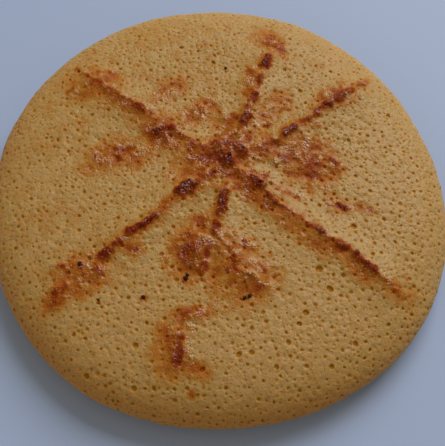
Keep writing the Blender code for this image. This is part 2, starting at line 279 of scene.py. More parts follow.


# %% Ridgelets: short ridges of knobbly crumb beside the star's lines, painted pale on their lit side, as (half width in mm, points)
RIDGELETS = (
    (0.9, ((10.3, 2.7), (14.8, -0.8), (20.0, -3.9))),
    (0.6, ((23.5, 7.9), (27.7, 3.8))),
    (0.6, ((27.0, 7.4), (31.5, 3.4))),
    (0.6, ((18.8, 9.0), (20.4, 5.1))),
    (0.6, ((21.4, 14.2), (23.9, 10.0))),
    (0.5, ((24.3, 17.5), (26.0, 15.9))),
    (0.9, ((7.6, 19.0), (10.0, 15.6))),
    (0.9, ((10.5, 23.9), (13.2, 21.5))),
    (0.8, ((7.2, 7.4), (11.0, 6.2))),
    (0.7, ((-10.8, 18.2), (-8.4, 15.9))),
    (0.9, ((-2.0, 24.2), (0.6, 21.9), (2.8, 18.3))),
    (0.8, ((-4.1, 22.6), (-1.9, 19.7))),
    (0.6, ((-5.4, 19.2), (-3.8, 18.2))),
    (1.0, ((0.6, -10.6), (1.8, -13.6), (3.4, -15.1), (5.1, -18.2), (7.0, -19.9), (8.8, -22.0))),
    (0.6, ((1.0, -9.4), (2.9, -12.6), (5.6, -15.1), (9.0, -16.8))),
    (0.6, ((-6.0, -13.2), (-2.7, -15.1), (0.6, -17.6), (1.8, -19.9))),
    (0.6, ((-2.1, -18.8), (-0.5, -19.9), (0.6, -21.5))),
    (0.5, ((-3.0, -21.2), (-1.0, -22.4))),
    (0.4, ((4.5, -22.4), (7.9, -23.8), (10.1, -25.4))),
    (0.5, ((-34.5, -22.4), (-31.6, -24.1))),
    (0.5, ((-34.2, -25.5), (-32.3, -27.0))),
    (0.8, ((-8.0, -38.0), (-7.2, -42.1), (-4.9, -43.7), (-3.7, -45.5))),
    (0.5, ((-7.2, -35.4), (-5.3, -36.3))),
    (0.7, ((32.2, -19.6), (34.8, -21.5), (36.8, -23.2))),
    (0.4, ((-35.3, 35.2), (-33.3, 32.8))),
    (0.5, ((-26.3, 28.6), (-23.5, 25.3), (-21.3, 23.5))),
    (0.6, ((-19.0, 22.8), (-16.0, 20.6), (-13.8, 18.8))),
    (0.4, ((10.9, 31.0), (12.3, 28.4))),
    (0.5, ((35.6, 26.8), (37.0, 24.8))),
)


def nearness(spots):
    """1 on a ridgelet, falling to 0 beside it."""
    near = np.zeros(len(spots))
    for half_width, line in RIDGELETS:
        near = np.maximum(near, bell(line_distance(spots, line)[0], half_width))
    return near


# %% The height of the star above the plain dome
SWELL_HEIGHT = 1.15 * MM
SWELL_SPREAD = 4.6 * MM
CREST_HEIGHT = 0.30 * MM
CREST_SPREAD = 0.8 * MM
SPOKE_TAPER = 7.0 * MM  # a ridge rises over this way from its tip
SPOKE_TIP = 0.25  # and starts this far up that taper
CLUMP_HEIGHT = 0.65 * MM
CLUMP_REACH = 1.5  # a clump's flank ends at this many half widths
MOUND_HEIGHT = 0.50 * MM
MOUND_REACH = 1.6
RIDGELET_HEIGHT = 0.15 * MM
SEARED_RISE = 2.0  # a clump or a mound is wholly seared from its full height divided by this


def star_relief(spots):
    """Height of ridges, clumps and mounds, and how seared each spot is, 0 to 1."""
    swells, crest, clump, mound = 0.0, 0.0, 0.0, 0.0
    for line in SPOKES.values():
        distance, to_end = line_distance(spots, line)
        taper = smooth_step(to_end * MM / SPOKE_TAPER + SPOKE_TIP)
        swells = swells + (SWELL_HEIGHT * taper * bell(distance * MM, SWELL_SPREAD)) ** 3
        crest = np.maximum(crest, CREST_HEIGHT * taper * bell(distance * MM, CREST_SPREAD))
    for x0, y0, x1, y1, half_width, toasted in CLUMPS:
        distance, _ = segment_distance(spots, (x0, y0), (x1, y1))
        clump = np.maximum(clump, CLUMP_HEIGHT * toasted * smooth_step(CLUMP_REACH - distance / half_width))
    for oval in MOUNDS:
        inside = smooth_step(MOUND_REACH - oval_reach(spots, oval))
        mound = np.maximum(mound, MOUND_HEIGHT * oval[-1] * inside)
    pale = nearness(spots)
    seared = crest / CREST_HEIGHT + SEARED_RISE * clump / CLUMP_HEIGHT
    seared = seared + SEARED_RISE * mound / MOUND_HEIGHT + pale
    return np.cbrt(swells) + crest + clump + mound + RIDGELET_HEIGHT * pale, np.minimum(1.0, seared)


# %% [markdown]
# ### How the crust is toasted
#
# Toasting comes in layers. An amber stain spreads from the ridges, mostly to the left and to the front of
# each. A thin red-brown line follows each ridge. On top come scorches, which are small, dark and uneven. A
# painted texture would do this too, but would need an image. Here each layer is a list of places, softened
# by noise. One more layer waits for the finished skin: painted light and shade, where the raised crests of
# the stained crust are made pale as if lit on the side that faces the window, and the hollows amber.

# %% Amber stains: middle (x, y), half length, half width in mm, degrees, and toasting
STAINS = (
    (1.5, 7.6, 6.5, 4.5, 30.0, 0.48),
    (-3.0, 5.0, 6.5, 4.0, 40.0, 0.34),
    (5.5, 0.8, 5.5, 2.4, -45.0, 0.37),
    (9.5, -3.4, 5.0, 2.4, -45.0, 0.30),
    (13.0, 9.4, 5.5, 3.0, 0.0, 0.31),
    (2.5, 14.0, 4.5, 3.2, 70.0, 0.26),
    (22.0, 6.4, 7.0, 5.0, -30.0, 0.37),
    (13.5, 20.5, 5.5, 3.0, 45.0, 0.18),
    (8.6, 29.5, 3.8, 1.6, 75.0, 0.26),
    (28.8, 24.8, 3.8, 1.6, 30.0, 0.30),
    (32.0, 22.8, 2.8, 1.2, 25.0, 0.26),
    (14.8, 42.4, 4.4, 2.8, -50.0, 0.30),
    (-14.2, 14.6, 5.0, 3.2, -45.0, 0.29),
    (-24.0, 8.4, 7.0, 3.4, 10.0, 0.27),
    (-33.0, 29.0, 6.0, 3.0, -40.0, 0.17),
    (-28.2, 31.8, 3.2, 1.6, -30.0, 0.21),
    (-11.8, 27.2, 4.8, 2.4, 40.0, 0.20),
    (-5.0, 20.2, 4.6, 2.6, 40.0, 0.24),
    (-5.2, -17.0, 6.2, 4.4, 70.0, 0.35),
    (-1.0, -12.0, 3.2, 2.2, 90.0, 0.32),
    (3.5, -21.0, 8.5, 6.0, -55.0, 0.28),
    (8.0, -25.8, 5.0, 3.2, 20.0, 0.30),
    (-32.0, -23.8, 7.5, 4.2, 35.0, 0.27),
    (-36.8, -28.4, 3.6, 2.4, 60.0, 0.38),
    (-10.8, -40.6, 5.6, 3.4, 85.0, 0.28),
    (-6.0, -45.2, 3.5, 1.6, -30.0, 0.28),
    (-5.6, -33.0, 4.2, 1.8, 10.0, 0.28),
    (20.0, -12.8, 9.0, 2.6, -40.0, 0.26),
    (33.0, -23.0, 7.0, 2.2, -42.0, 0.22),
    (42.5, -28.8, 4.0, 2.0, -30.0, 0.28),
    (35.0, -7.2, 2.4, 1.6, 0.0, 0.20),
    (29.2, -6.6, 2.4, 1.6, -20.0, 0.22),
    (-19.4, -17.2, 2.2, 1.6, 0.0, 0.22),
)

# %% Scorches: from (x, y) to (x, y), half width in mm, and toasting
SCORCHES = (
    (-1.2, 2.2, -0.8, 2.6, 0.8, 0.75),
    (4.6, 13.4, 4.9, 13.1, 0.6, 0.62),
    (7.2, 13.2, 8.0, 12.1, 0.5, 0.65),
    (4.6, 18.9, 5.0, 18.4, 0.8, 0.70),
    (11.2, 18.6, 11.5, 18.8, 0.6, 0.70),
    (12.7, 16.3, 13.1, 16.0, 0.8, 0.78),
    (18.2, 23.7, 18.8, 23.2, 0.6, 0.52),
    (17.4, 20.9, 17.8, 21.0, 0.6, 0.62),
    (20.7, 16.9, 23.5, 17.6, 0.5, 0.60),
    (15.6, 7.3, 17.0, 6.6, 0.9, 0.58),
    (21.9, 10.9, 22.3, 10.4, 0.8, 0.48),
    (23.4, 7.4, 24.4, 6.0, 0.6, 0.58),
    (28.0, 6.8, 29.4, 5.2, 0.6, 0.75),
    (22.9, 1.7, 23.6, 1.6, 0.5, 0.72),
    (27.5, 2.8, 28.0, 2.6, 0.4, 0.60),
    (8.4, 2.6, 11.8, 1.4, 0.8, 0.55),
    (7.2, -1.2, 8.6, -2.2, 1.0, 0.52),
    (11.7, -6.4, 13.1, -7.6, 0.5, 0.62),
    (-3.4, 8.9, -1.2, 8.2, 0.6, 0.58),
    (-6.8, 9.2, -6.2, 9.6, 0.6, 0.70),
    (-5.9, 11.0, -5.6, 10.7, 0.6, 0.72),
    (-8.6, 13.4, -7.9, 12.9, 0.6, 0.75),
    (-9.8, 9.9, -9.5, 9.8, 0.4, 0.60),
    (0.4, -9.0, 0.4, -8.2, 0.6, 0.72),
    (-4.4, -9.6, -3.4, -10.8, 1.2, 0.50),
    (-7.0, -13.4, -6.7, -13.9, 0.6, 0.68),
    (-8.2, -17.8, -5.4, -16.4, 1.3, 0.68),
    (-5.6, -18.2, -3.6, -15.8, 0.8, 0.68),
    (-2.2, -16.2, -2.6, -20.0, 0.6, 0.68),
    (-3.9, -22.9, -3.0, -21.8, 0.9, 0.72),
    (-4.1, -24.9, -3.9, -25.0, 0.3, 0.55),
    (6.0, -15.7, 6.4, -16.4, 0.7, 0.88),
    (3.4, -20.0, 3.9, -20.8, 0.6, 0.78),
    (2.0, -22.7, 2.7, -22.3, 0.5, 0.62),
    (3.6, -22.3, 4.4, -23.2, 0.55, 0.72),
    (9.6, -21.3, 10.6, -22.8, 0.7, 0.62),
    (7.3, -21.8, 7.8, -21.8, 0.5, 0.46),
    (12.9, -24.0, 13.2, -24.0, 0.35, 0.68),
    (8.7, -27.1, 9.9, -26.4, 0.9, 0.62),
    (7.9, -24.3, 8.1, -24.4, 0.4, 0.48),
    (5.8, -29.8, 7.0, -29.2, 0.25, 0.60),
    (-6.8, -32.2, -6.2, -33.0, 0.7, 0.56),
    (-4.4, -32.2, -3.7, -33.0, 0.7, 0.52),
    (-18.9, -17.0, -18.7, -17.4, 0.5, 0.78),
    (-31.7, -20.8, -31.5, -21.6, 0.6, 0.90),
    (-30.0, -20.6, -28.4, -21.2, 0.7, 0.48),
    (-27.9, -21.4, -27.0, -23.0, 0.7, 0.62),
    (-29.4, -23.8, -29.2, -23.9, 0.35, 0.75),
    (-28.6, -24.4, -28.4, -25.0, 0.5, 0.50),
    (-36.3, -21.0, -35.6, -21.3, 0.5, 0.66),
    (-34.9, -21.4, -34.7, -21.5, 0.3, 0.62),
    (-35.0, -22.5, -34.3, -23.0, 0.6, 0.56),
    (-37.7, -30.0, -36.8, -26.8, 0.9, 0.78),
    (-35.6, -26.9, -34.6, -25.9, 0.8, 0.70),
    (-27.5, -29.3, -27.0, -29.9, 0.25, 0.75),
    (-17.0, -29.2, -16.8, -29.2, 0.45, 0.78),
    (-7.8, -25.3, -7.0, -24.3, 0.4, 0.48),
    (-36.7, 36.2, -35.5, 34.8, 0.5, 0.66),
    (-32.4, 31.6, -31.8, 31.0, 0.55, 0.76),
    (-31.2, 30.2, -29.6, 29.4, 0.7, 0.76),
    (-26.9, 27.6, -26.2, 27.0, 0.5, 0.62),
    (-16.1, 19.9, -15.6, 19.4, 0.6, 0.66),
    (-13.0, 17.0, -12.6, 16.2, 0.8, 0.76),
    (-11.2, 13.4, -10.8, 13.0, 0.5, 0.62),
    (-17.4, 15.9, -17.0, 15.5, 0.5, 0.48),
    (-37.9, 27.6, -37.1, 28.2, 0.7, 0.56),
    (-36.6, 29.0, -36.2, 29.3, 0.35, 0.60),
    (-30.3, 32.8, -29.6, 31.8, 0.8, 0.50),
    (-26.4, 32.6, -27.4, 31.0, 0.6, 0.48),
    (-13.7, 28.5, -13.4, 28.2, 0.5, 0.52),
    (-16.3, 25.4, -15.8, 25.2, 0.45, 0.56),
    (-12.2, 27.8, -11.9, 27.4, 0.4, 0.42),
    (-10.9, 29.6, -10.6, 29.3, 0.4, 0.42),
    (-7.5, 31.0, -7.3, 30.7, 0.3, 0.52),
    (-8.2, 25.6, -8.0, 25.4, 0.4, 0.48),
    (-3.7, 22.0, -3.2, 21.6, 0.6, 0.54),
    (-2.3, 23.4, -1.8, 23.0, 0.45, 0.56),
    (-6.1, 18.8, -5.7, 18.4, 0.5, 0.48),
    (-10.8, 18.5, -10.4, 18.1, 0.5, 0.52),
    (-29.8, 8.4, -29.6, 7.7, 0.55, 0.76),
    (-23.7, 10.6, -23.0, 10.0, 0.6, 0.72),
    (-25.1, 10.0, -24.6, 9.7, 0.5, 0.52),
    (-24.4, 7.3, -23.7, 6.7, 0.6, 0.66),
    (-20.7, 8.5, -20.1, 8.0, 0.5, 0.62),
    (-20.3, 11.0, -19.8, 10.5, 0.5, 0.52),
    (9.0, 32.5, 9.1, 32.0, 0.75, 0.70),
    (10.9, 28.9, 10.7, 28.3, 0.6, 0.58),
    (9.4, 27.0, 9.2, 26.4, 0.5, 0.52),
    (16.8, 40.2, 17.4, 39.8, 0.9, 0.76),
    (15.4, 41.4, 15.8, 41.0, 0.55, 0.66),
    (14.2, 43.8, 14.7, 42.9, 0.6, 0.62),
    (13.5, 44.4, 13.7, 44.2, 0.35, 0.56),
    (16.5, 43.4, 16.8, 43.1, 0.6, 0.40),
    (36.1, 28.0, 36.6, 28.4, 0.6, 0.72),
    (37.9, 29.2, 38.2, 29.4, 0.35, 0.66),
    (38.8, 30.5, 39.2, 31.0, 0.45, 0.58),
    (-8.6, -38.6, -8.8, -41.0, 0.8, 0.70),
    (-8.9, -41.6, -9.1, -44.2, 1.2, 0.80),
    (-8.9, -36.8, -8.8, -36.7, 0.35, 0.80),
    (-7.5, -34.6, -7.4, -34.8, 0.5, 0.40),
    (-6.2, -44.8, -6.0, -45.2, 0.5, 0.56),
    (-4.2, -45.7, -3.8, -45.9, 0.4, 0.42),
    (-6.1, -50.9, -5.7, -51.3, 0.5, 0.70),
    (20.6, -11.1, 24.7, -13.9, 0.45, 0.78),
    (26.2, -6.1, 26.5, -6.3, 0.55, 0.62),
    (28.7, -6.2, 30.5, -7.0, 0.8, 0.90),
    (36.3, -6.9, 36.7, -7.2, 0.45, 0.72),
    (34.3, -6.8, 35.2, -7.0, 0.8, 0.38),
    (19.1, -3.6, 19.5, -4.0, 0.5, 0.44),
    (40.6, -27.7, 42.2, -28.9, 0.55, 0.68),
    (39.4, -27.9, 39.8, -28.1, 0.5, 0.42),
    (43.2, -24.4, 43.4, -24.8, 0.4, 0.64),
    (43.7, -29.3, 43.9, -29.4, 0.35, 0.46),
)

# %% How each layer spreads and fades. Distances are in mm, and those of ovals and scorches in half widths
TOAST_TIP = 0.2  # a line's colour starts this far up its taper
STAIN_LEVEL = 0.24  # of the stain along the ridges
STAIN_SPREAD = 1.9
STAIN_SHIFT = (1.0, 0.8)  # the stain lies more to the left of each ridge and in front of it
STAIN_TAPER = 5.0
STAIN_REACH = 2.0
STAIN_FADE = 1.7
STAIN_FRAY = 0.25
STAIN_EVEN, STAIN_PATCHY, STAIN_MOTTLED = 0.82, 0.40, 0.20
# Painted light and shade beside each ridgelet: amber on the side away from the window, paler on the side
# facing it.
RIDGELET_SHADE = 0.28
RIDGELET_SHIFT = (0.45, 0.40)  # a ridgelet is painted amber to its left and in front, away from the window, as shade, and pale on the other side, as if lit
RIDGELET_LIT_PALE = 0.30
LINE_TOAST = {"north": 0.40, "north_east": 0.38, "south_west": 0.50, "fan_west": 0.20, "fan_east": 0.0}
PLAIN_LINE_TOAST = 0.49  # of the other lines
LINE_SPREAD = 0.45
LINE_SHIFT = (0.25, 0.20)
LINE_TAPER = 4.0
LINE_EVEN, LINE_MOTTLED = 0.70, 0.40
SCORCH_EVEN, SCORCH_MOTTLED = 0.70, 0.20
SCORCH_FRAY = 0.15
SCORCHED = ((SCORCHES, 1.85, 1.5), (CLUMPS, 1.48, 1.0))  # marks, where their edge ends, and how far it fades
UNEVEN = ((0.03, 9.0 * MM, 55.0), (0.10, 3.5 * MM, 57.0))  # level, size and seed of the crumb's own mottling
LEAN = 0.036  # for each loaf radius to the left and to the back, the crumb is this much browner
PALER = 0.005  # and all of it is this much paler


# %% How toasted each place is
def as_share(values):
    """Noise of about -1 to 1, turned into shares from 0 to 1."""
    return smooth_step(0.5 + 0.9 * values)


def toasting(places):
    """0 for pale crumb, about 0.3 for an amber stain, 0.6 for red-brown and 1 for the darkest crust."""
    spots = strayed(places)
    patchy = as_share(noise_at(places, 3.6 * MM, 71.0))
    rugged = noise_at(places, 2.3 * MM, 91.0) + 0.6 * noise_at(places, 1.0 * MM, 95.0)
    mottle = as_share(rugged)
    stain = np.zeros(len(places))
    for line in SPOKES.values():
        beside, to_end = line_distance(spots + STAIN_SHIFT, line)
        taper = smooth_step(to_end / STAIN_TAPER + TOAST_TIP)
        stain = np.maximum(stain, taper * STAIN_LEVEL * bell(beside, STAIN_SPREAD))
    for oval in STAINS:
        inside = smooth_step((STAIN_REACH - oval_reach(spots, oval)) / STAIN_FADE + STAIN_FRAY * rugged)
        stain = np.maximum(stain, oval[-1] * inside)
    toast = stain * (STAIN_EVEN + STAIN_PATCHY * patchy + STAIN_MOTTLED * mottle)
    # Painted shade, then painted light, beside each ridgelet.
    toast = np.maximum(toast, RIDGELET_SHADE * nearness(spots + RIDGELET_SHIFT))
    toast = toast * (1.0 - RIDGELET_LIT_PALE * nearness(spots - RIDGELET_SHIFT))
    for level, size, seed in UNEVEN:
        toast += level * noise_at(places, size, seed)
    toast -= LEAN * (places[:, 0] - places[:, 1]) / RADIUS + PALER
    for name, line in SPOKES.items():
        beside, to_end = line_distance(spots + LINE_SHIFT, line)
        taper = smooth_step(to_end / LINE_TAPER + TOAST_TIP) * LINE_TOAST.get(name, PLAIN_LINE_TOAST)
        browned = taper * (LINE_EVEN + LINE_MOTTLED * mottle)
        toast = np.maximum(toast, browned * bell(beside, LINE_SPREAD))
    for marks, reach, fade in SCORCHED:
        for x0, y0, x1, y1, half_width, level in marks:
            distance, _ = segment_distance(spots, (x0, y0), (x1, y1))
            edge = smooth_step((reach - distance / half_width) / fade + SCORCH_FRAY * rugged)
            toast = np.maximum(toast, level * (SCORCH_EVEN + SCORCH_MOTTLED * mottle) * edge)
    return np.minimum(toast, 1.0)


# %% [markdown]
# ## The pores
#
# Each pore is a small pit with a soft lip, 0.3 to 1.8 mm across, and there are over three thousand. Bump
# mapping would vanish in an export, and cutting thousands of bubbles out of a solid leaves sharp rims and
# slivers. Here a Geometry Nodes tree scatters them over the flat disc, where it is easy: the widest ones
# from a list, then middling ones at random, then fine ones that keep clear of both. Each point gets a
# small dish of rings, and the depth of a dish hangs below the flat sheet until the wrap.


# %% Helpers that put things in the scene
def in_scene(name, data):
    """A new object at the origin that shows this mesh, lamp or camera."""
    thing = bpy.data.objects.new(name, data)
    bpy.context.scene.collection.objects.link(thing)
    return thing


def shape_in_scene(name, shape):
    """An object of a finished bmesh, which is freed."""
    data = bpy.data.meshes.new(name)
    shape.to_mesh(data)
    shape.free()
    return in_scene(name, data)


def mesh_of(name, corners, faces, values):
    """A mesh of these corners and faces, with an attribute for each named list of values."""
    data = bpy.data.meshes.new(name)
    data.from_pydata(corners, [], faces)
    for attribute, numbers in values.items():
        data.attributes.new(attribute, "FLOAT", "POINT").data.foreach_set("value", numbers)
    return data


# %% Dishes for the pores, in units of a pore's radius: sides, rings of (radius, depth), and the deepest point
LIP = 1.55  # the fine dish's outer ring
DISHES = {
    "fine_dish": (6, ((LIP, 0.0), (0.85, 0.70)), 0.95),
    "middling_dish": (8, ((1.45, 0.0), (1.02, 0.14), (0.76, 0.75)), 0.90),
    "wide_dish": (12, ((1.35, 0.0), (1.04, 0.08), (0.90, 0.50), (0.66, 0.75)), 0.78),
}


def make_dish(name, sides, rings, deepest):
    """A dish of rings round one lowest point, open at the top."""
    shape = bmesh.new()
    middle = shape.verts.new((0.0, 0.0, -deepest))
    turn = 2.0 * math.pi / sides
    inner = None
    for radius, depth in reversed(rings):
        spots = [(radius * math.cos(i * turn), radius * math.sin(i * turn), -depth) for i in range(sides)]
        ring = [shape.verts.new(spot) for spot in spots]
        for i in range(sides):
            after = (i + 1) % sides
            if inner is None:
                shape.faces.new((middle, ring[i], ring[after]))
            else:
                shape.faces.new((inner[i], ring[i], ring[after], inner[after]))
        inner = ring
    return shape_in_scene(name, shape)


dishes = {name: make_dish(name, *shape) for name, shape in DISHES.items()}
print("corners in each dish:", {name: len(dish.data.vertices) for name, dish in dishes.items()})

# %% Flat points, and triangles over them
INSIDE_RIM, WHOLE_HULL = 1, 0  # the kinds of net that the triangulation makes
SAME_POINT = 1e-6  # mm: closer points would be one


def ring_points(radius, count):
    return heading(np.arange(count) * 2.0 * math.pi / count) * radius


def round_lattice(radius, step):
    """Flat points (N, 2) in rings, six more in each ring than in the one inside it."""
    rings = max(1, round(radius / step))
    round_middle = [ring_points(radius * k / rings, 6 * k) for k in range(1, rings + 1)]
    return np.concatenate([np.zeros((1, 2)), *round_middle])


def knit(flat, rim_count=0):
    """Which flat point each corner of a net is, and its triangles. A rim of first points may bound it."""
    rim = [(i, (i + 1) % rim_count) for i in range(rim_count)]
    kind = INSIDE_RIM if rim else WHOLE_HULL
    made = delaunay_2d_cdt([Vector(point) for point in flat / MM], rim, [], kind, SAME_POINT)
    return np.array([points[0] for points in made[3]]), np.array(made[2])


def flat_sheet(name, flat, values, loose=()):
    """A flat mesh over the points, with loose points beside it, and an attribute for each list of values."""
    _, faces = knit(flat)
    return in_scene(name, mesh_of(name, [(x, y, 0.0) for x, y in (*flat, *loose)], faces.tolist(), values))


# %% The widest pores: (x, y) and radius, in mm
WIDE_PORES = (
    (23.2, -22.5, 0.90),
    (25.4, -27.4, 0.90),
    (19.6, -33.0, 0.75),
    (18.0, -35.6, 0.65),
    (15.4, -39.8, 0.70),
    (30.4, -40.0, 0.75),
    (4.4, -42.4, 0.80),
    (7.2, -42.0, 0.65),
    (12.6, -45.2, 0.65),
    (-3.6, -45.6, 0.75),
    (24.8, -45.0, 0.65),
    (-18.4, -40.0, 0.70),
    (-18.6, -49.2, 0.70),
    (-14.2, -49.4, 0.65),
    (-29.2, -46.0, 0.75),
    (-29.6, -19.2, 0.60),
    (32.0, -11.8, 0.75),
    (43.6, 20.0, 0.70),
    (21.4, 26.8, 0.65),
    (-0.6, 36.0, 0.70),
    (-9.0, 41.2, 0.65),
    (-13.0, -18.4, 0.60),
    (33.6, 1.8, 0.55),
    (-47.4, -15.6, 0.55),
)

# %% The flat sheet that the pores are scattered on, and how open its crumb is
SHEET_STEP = 1.5 * MM
CLOSED_SHARE = 0.85  # of the pores that wholly toasted crust has lost
CLOSED_RISE = 2.2  # crust counts as wholly toasted from 1 divided by this
FOOT_MARGIN = (5.0, 0.3)  # mm over which pores come in above the foot, and the share at which they start
BACK_SHARE = 0.40  # of the middling pores at the back, against the front
FRONT_BLEND = 90.0 * MM

sheet_points = round_lattice(LENGTH, SHEET_STEP)
sheet_places, _ = wrap(sheet_points)
from_foot = (LENGTH - polar(sheet_points)[1]) / MM
closed = CLOSED_SHARE * np.clip(CLOSED_RISE * toasting(sheet_places), 0.0, 1.0)
open_crumb = (1.0 - closed) * coming_in(from_foot, *FOOT_MARGIN)
front = smooth_step(0.5 - sheet_places[:, 1] / FRONT_BLEND)
wide_pores = np.array(WIDE_PORES) * MM
none_open = np.zeros(len(wide_pores))
top_sheet = flat_sheet(
    "top_sheet",
    sheet_points,
    {
        "open": np.concatenate((open_crumb, none_open)),
        "open_wide": np.concatenate((open_crumb * (BACK_SHARE + (1.0 - BACK_SHARE) * front), none_open)),
        "wide_radius": np.concatenate((np.zeros(len(sheet_points)), wide_pores[:, 2])),
    },
    unwrap(wide_pores[:, :2]),
)
print("the flat sheet has", len(sheet_points), "points, and", len(wide_pores), "wide pores lie on it")

# %% [markdown]
# ### Small helpers for node trees
#
# A tree written out node by node soon hides what it does. The first helper adds a node, sets its options,
# and fills each input with a plain value or with another node's output, so that a tree reads like nested
# calls. The others are the few steps that every tree here takes.


# %% Helpers for all node trees
def fill(tree, node, inputs):
    """Gives each input of the node a plain value or another node's output."""
    for name, value in inputs.items():
        if isinstance(value, bpy.types.NodeSocket):
            tree.links.new(value, node.inputs[name])
        else:
            node.inputs[name].default_value = value


def add(tree, kind, options=None, inputs=None):
    """Adds a node to the tree and returns its outputs."""
    node = tree.nodes.new(kind)
    for option, value in (options or {}).items():
        setattr(node, option, value)
    fill(tree, node, inputs or {})
    return node.outputs


def calculate(tree, operation, *values):
    return add(tree, "ShaderNodeMath", {"operation": operation}, dict(enumerate(values)))[0]


# %% Helpers for Geometry Nodes trees
def new_geometry_tree(name, sockets):
    """A Geometry Nodes group with named inputs, and its input node's outputs."""
    tree = bpy.data.node_groups.new(name, "GeometryNodeTree")
    tree.interface.new_socket("Geometry", in_out="INPUT", socket_type="NodeSocketGeometry")
    for kind, names in sockets.items():
        for socket in names:
            tree.interface.new_socket(socket, in_out="INPUT", socket_type="NodeSocket" + kind)
    tree.interface.new_socket("Geometry", in_out="OUTPUT", socket_type="NodeSocketGeometry")
    return tree, add(tree, "NodeGroupInput")


def later(tree, seed, steps):
    """A seed this many steps after the first, so that no two draws are alike."""
    return calculate(tree, "ADD", seed, steps)


def compare(tree, operation, first, second):
    return add(tree, "FunctionNodeCompare", {"operation": operation}, {0: first, 1: second})[0]


def random_between(tree, lowest, highest, seed):
    inputs = {2: lowest, 3: highest, "Seed": seed}
    return add(tree, "FunctionNodeRandomValue", {"data_type": "FLOAT"}, inputs)[1]


def stored(tree, name):
    """The value that the mesh carries under this name."""
    return add(tree, "GeometryNodeInputNamedAttribute", {"data_type": "FLOAT"}, {"Name": name})[0]


def scatter(tree, mesh, gap, density, share, seed):
    """Points at random on a mesh, none closer together than the gap, and fewer where the share is low."""
    options = {"distribute_method": "POISSON"}
    inputs = {"Mesh": mesh, "Distance Min": gap, "Density Max": density, "Density Factor": share}
    return add(tree, "GeometryNodeDistributePointsOnFaces", options, {**inputs, "Seed": seed})


def join(tree, parts):
    joined = add(tree, "GeometryNodeJoinGeometry")[0]
    for part in parts:
        tree.links.new(part, joined.node.inputs[0])
    return joined


def lay(tree, points, thing, rotation, scale):
    """The object, once at each point."""
    shape = add(tree, "GeometryNodeObjectInfo", {"transform_space": "ORIGINAL"}, {"Object": thing})
    inputs = {"Points": points, "Instance": shape["Geometry"], "Rotation": rotation, "Scale": scale}
    return add(tree, "GeometryNodeInstanceOnPoints", None, inputs)[0]


def end_tree(tree, geometry, material):
    """Makes what was laid out real, gives it its material, and hands it over."""
    real = add(tree, "GeometryNodeRealizeInstances", None, {"Geometry": geometry})[0]
    clad = add(tree, "GeometryNodeSetMaterial", None, {"Geometry": real, "Material": material})[0]
    add(tree, "NodeGroupOutput", None, {"Geometry": clad})


def grow(piece, tree, values):
    """Runs the tree on the piece and returns the result as a plain mesh. The modifier doesn't stay."""
    modifier = piece.modifiers.new(tree.name, "NODES")
    modifier.node_group = tree
    for item in tree.interface.items_tree:
        if item.in_out == "INPUT" and item.name in values:
            modifier[item.identifier] = values[item.name]
    piece.update_tag()
    bpy.context.view_layer.update()
    evaluated = piece.evaluated_get(bpy.context.evaluated_depsgraph_get())
    mesh = bpy.data.meshes.new_from_object(evaluated)
    piece.modifiers.remove(modifier)
    return mesh


# %% Keeping pores apart, and laying a dish on each
NARROWEST = 0.72  # a pore's width against its length, at the least


def drop_near(tree, points, others, clearance):
    """Deletes the points that lie closer than the clearance to any of the others."""
    found = add(tree, "GeometryNodeProximity", {"target_element": "POINTS"}, {"Geometry": others})
    near = compare(tree, "LESS_THAN", found["Distance"], clearance)
    close = add(tree, "FunctionNodeBooleanMath", {"operation": "AND"}, {0: near, 1: found["Is Valid"]})[0]
    inputs = {"Geometry": points, "Selection": close}
    return add(tree, "GeometryNodeDeleteGeometry", {"domain": "POINT"}, inputs)[0]


def nearest_gap(tree):
    """Distance from each point to its nearest neighbour."""
    here = add(tree, "GeometryNodeInputPosition")[0]
    inputs = {"Index": add(tree, "GeometryNodeIndexOfNearest")["Index"], "Value": here}
    there = add(tree, "GeometryNodeFieldAtIndex", {"data_type": "FLOAT_VECTOR", "domain": "POINT"}, inputs)[0]
    return add(tree, "ShaderNodeVectorMath", {"operation": "DISTANCE"}, {0: here, 1: there})["Value"]


def part_of(tree, length, least, seed):
    """The length times a random share, between the least one and the whole."""
    return calculate(tree, "MULTIPLY", length, random_between(tree, least, 1.0, seed))


def lay_dishes(tree, points, dish, radius, shallowest, seed):
    """Puts a dish at each point, scaled to the radius, turned at random, and more or less deep and round."""
    turn = random_between(tree, 0.0, 2.0 * math.pi, seed)
    rotation = add(tree, "ShaderNodeCombineXYZ", None, {"Z": turn})[0]
    narrow = part_of(tree, radius, NARROWEST, later(tree, seed, 1.0))
    deep = part_of(tree, radius, shallowest, later(tree, seed, 2.0))
    scale = add(tree, "ShaderNodeCombineXYZ", None, {"X": radius, "Y": narrow, "Z": deep})[0]
    return lay(tree, points, dish, rotation, scale)


# %% The tree that scatters the pores
PORE_SOCKETS = {
    "Float": (
        "Fine gap",
        "Fine density",
        "Smallest radius",
        "Fine radius",
        "Middling gap",
        "Middling density",
        "Middling radius",
        "Largest radius",
    ),
    "Int": ("Seed",),
    "Object": ("Fine dish", "Middling dish", "Wide dish"),
    "Material": ("Material",),
}
LIP_GAP = 0.1  # radii between the lips of two fine pores
SMALL_BIAS = 1.2  # above 1, small pores are more common than large ones
NO_RADIUS = 1e-6  # points of the sheet with a wide pore have more than this


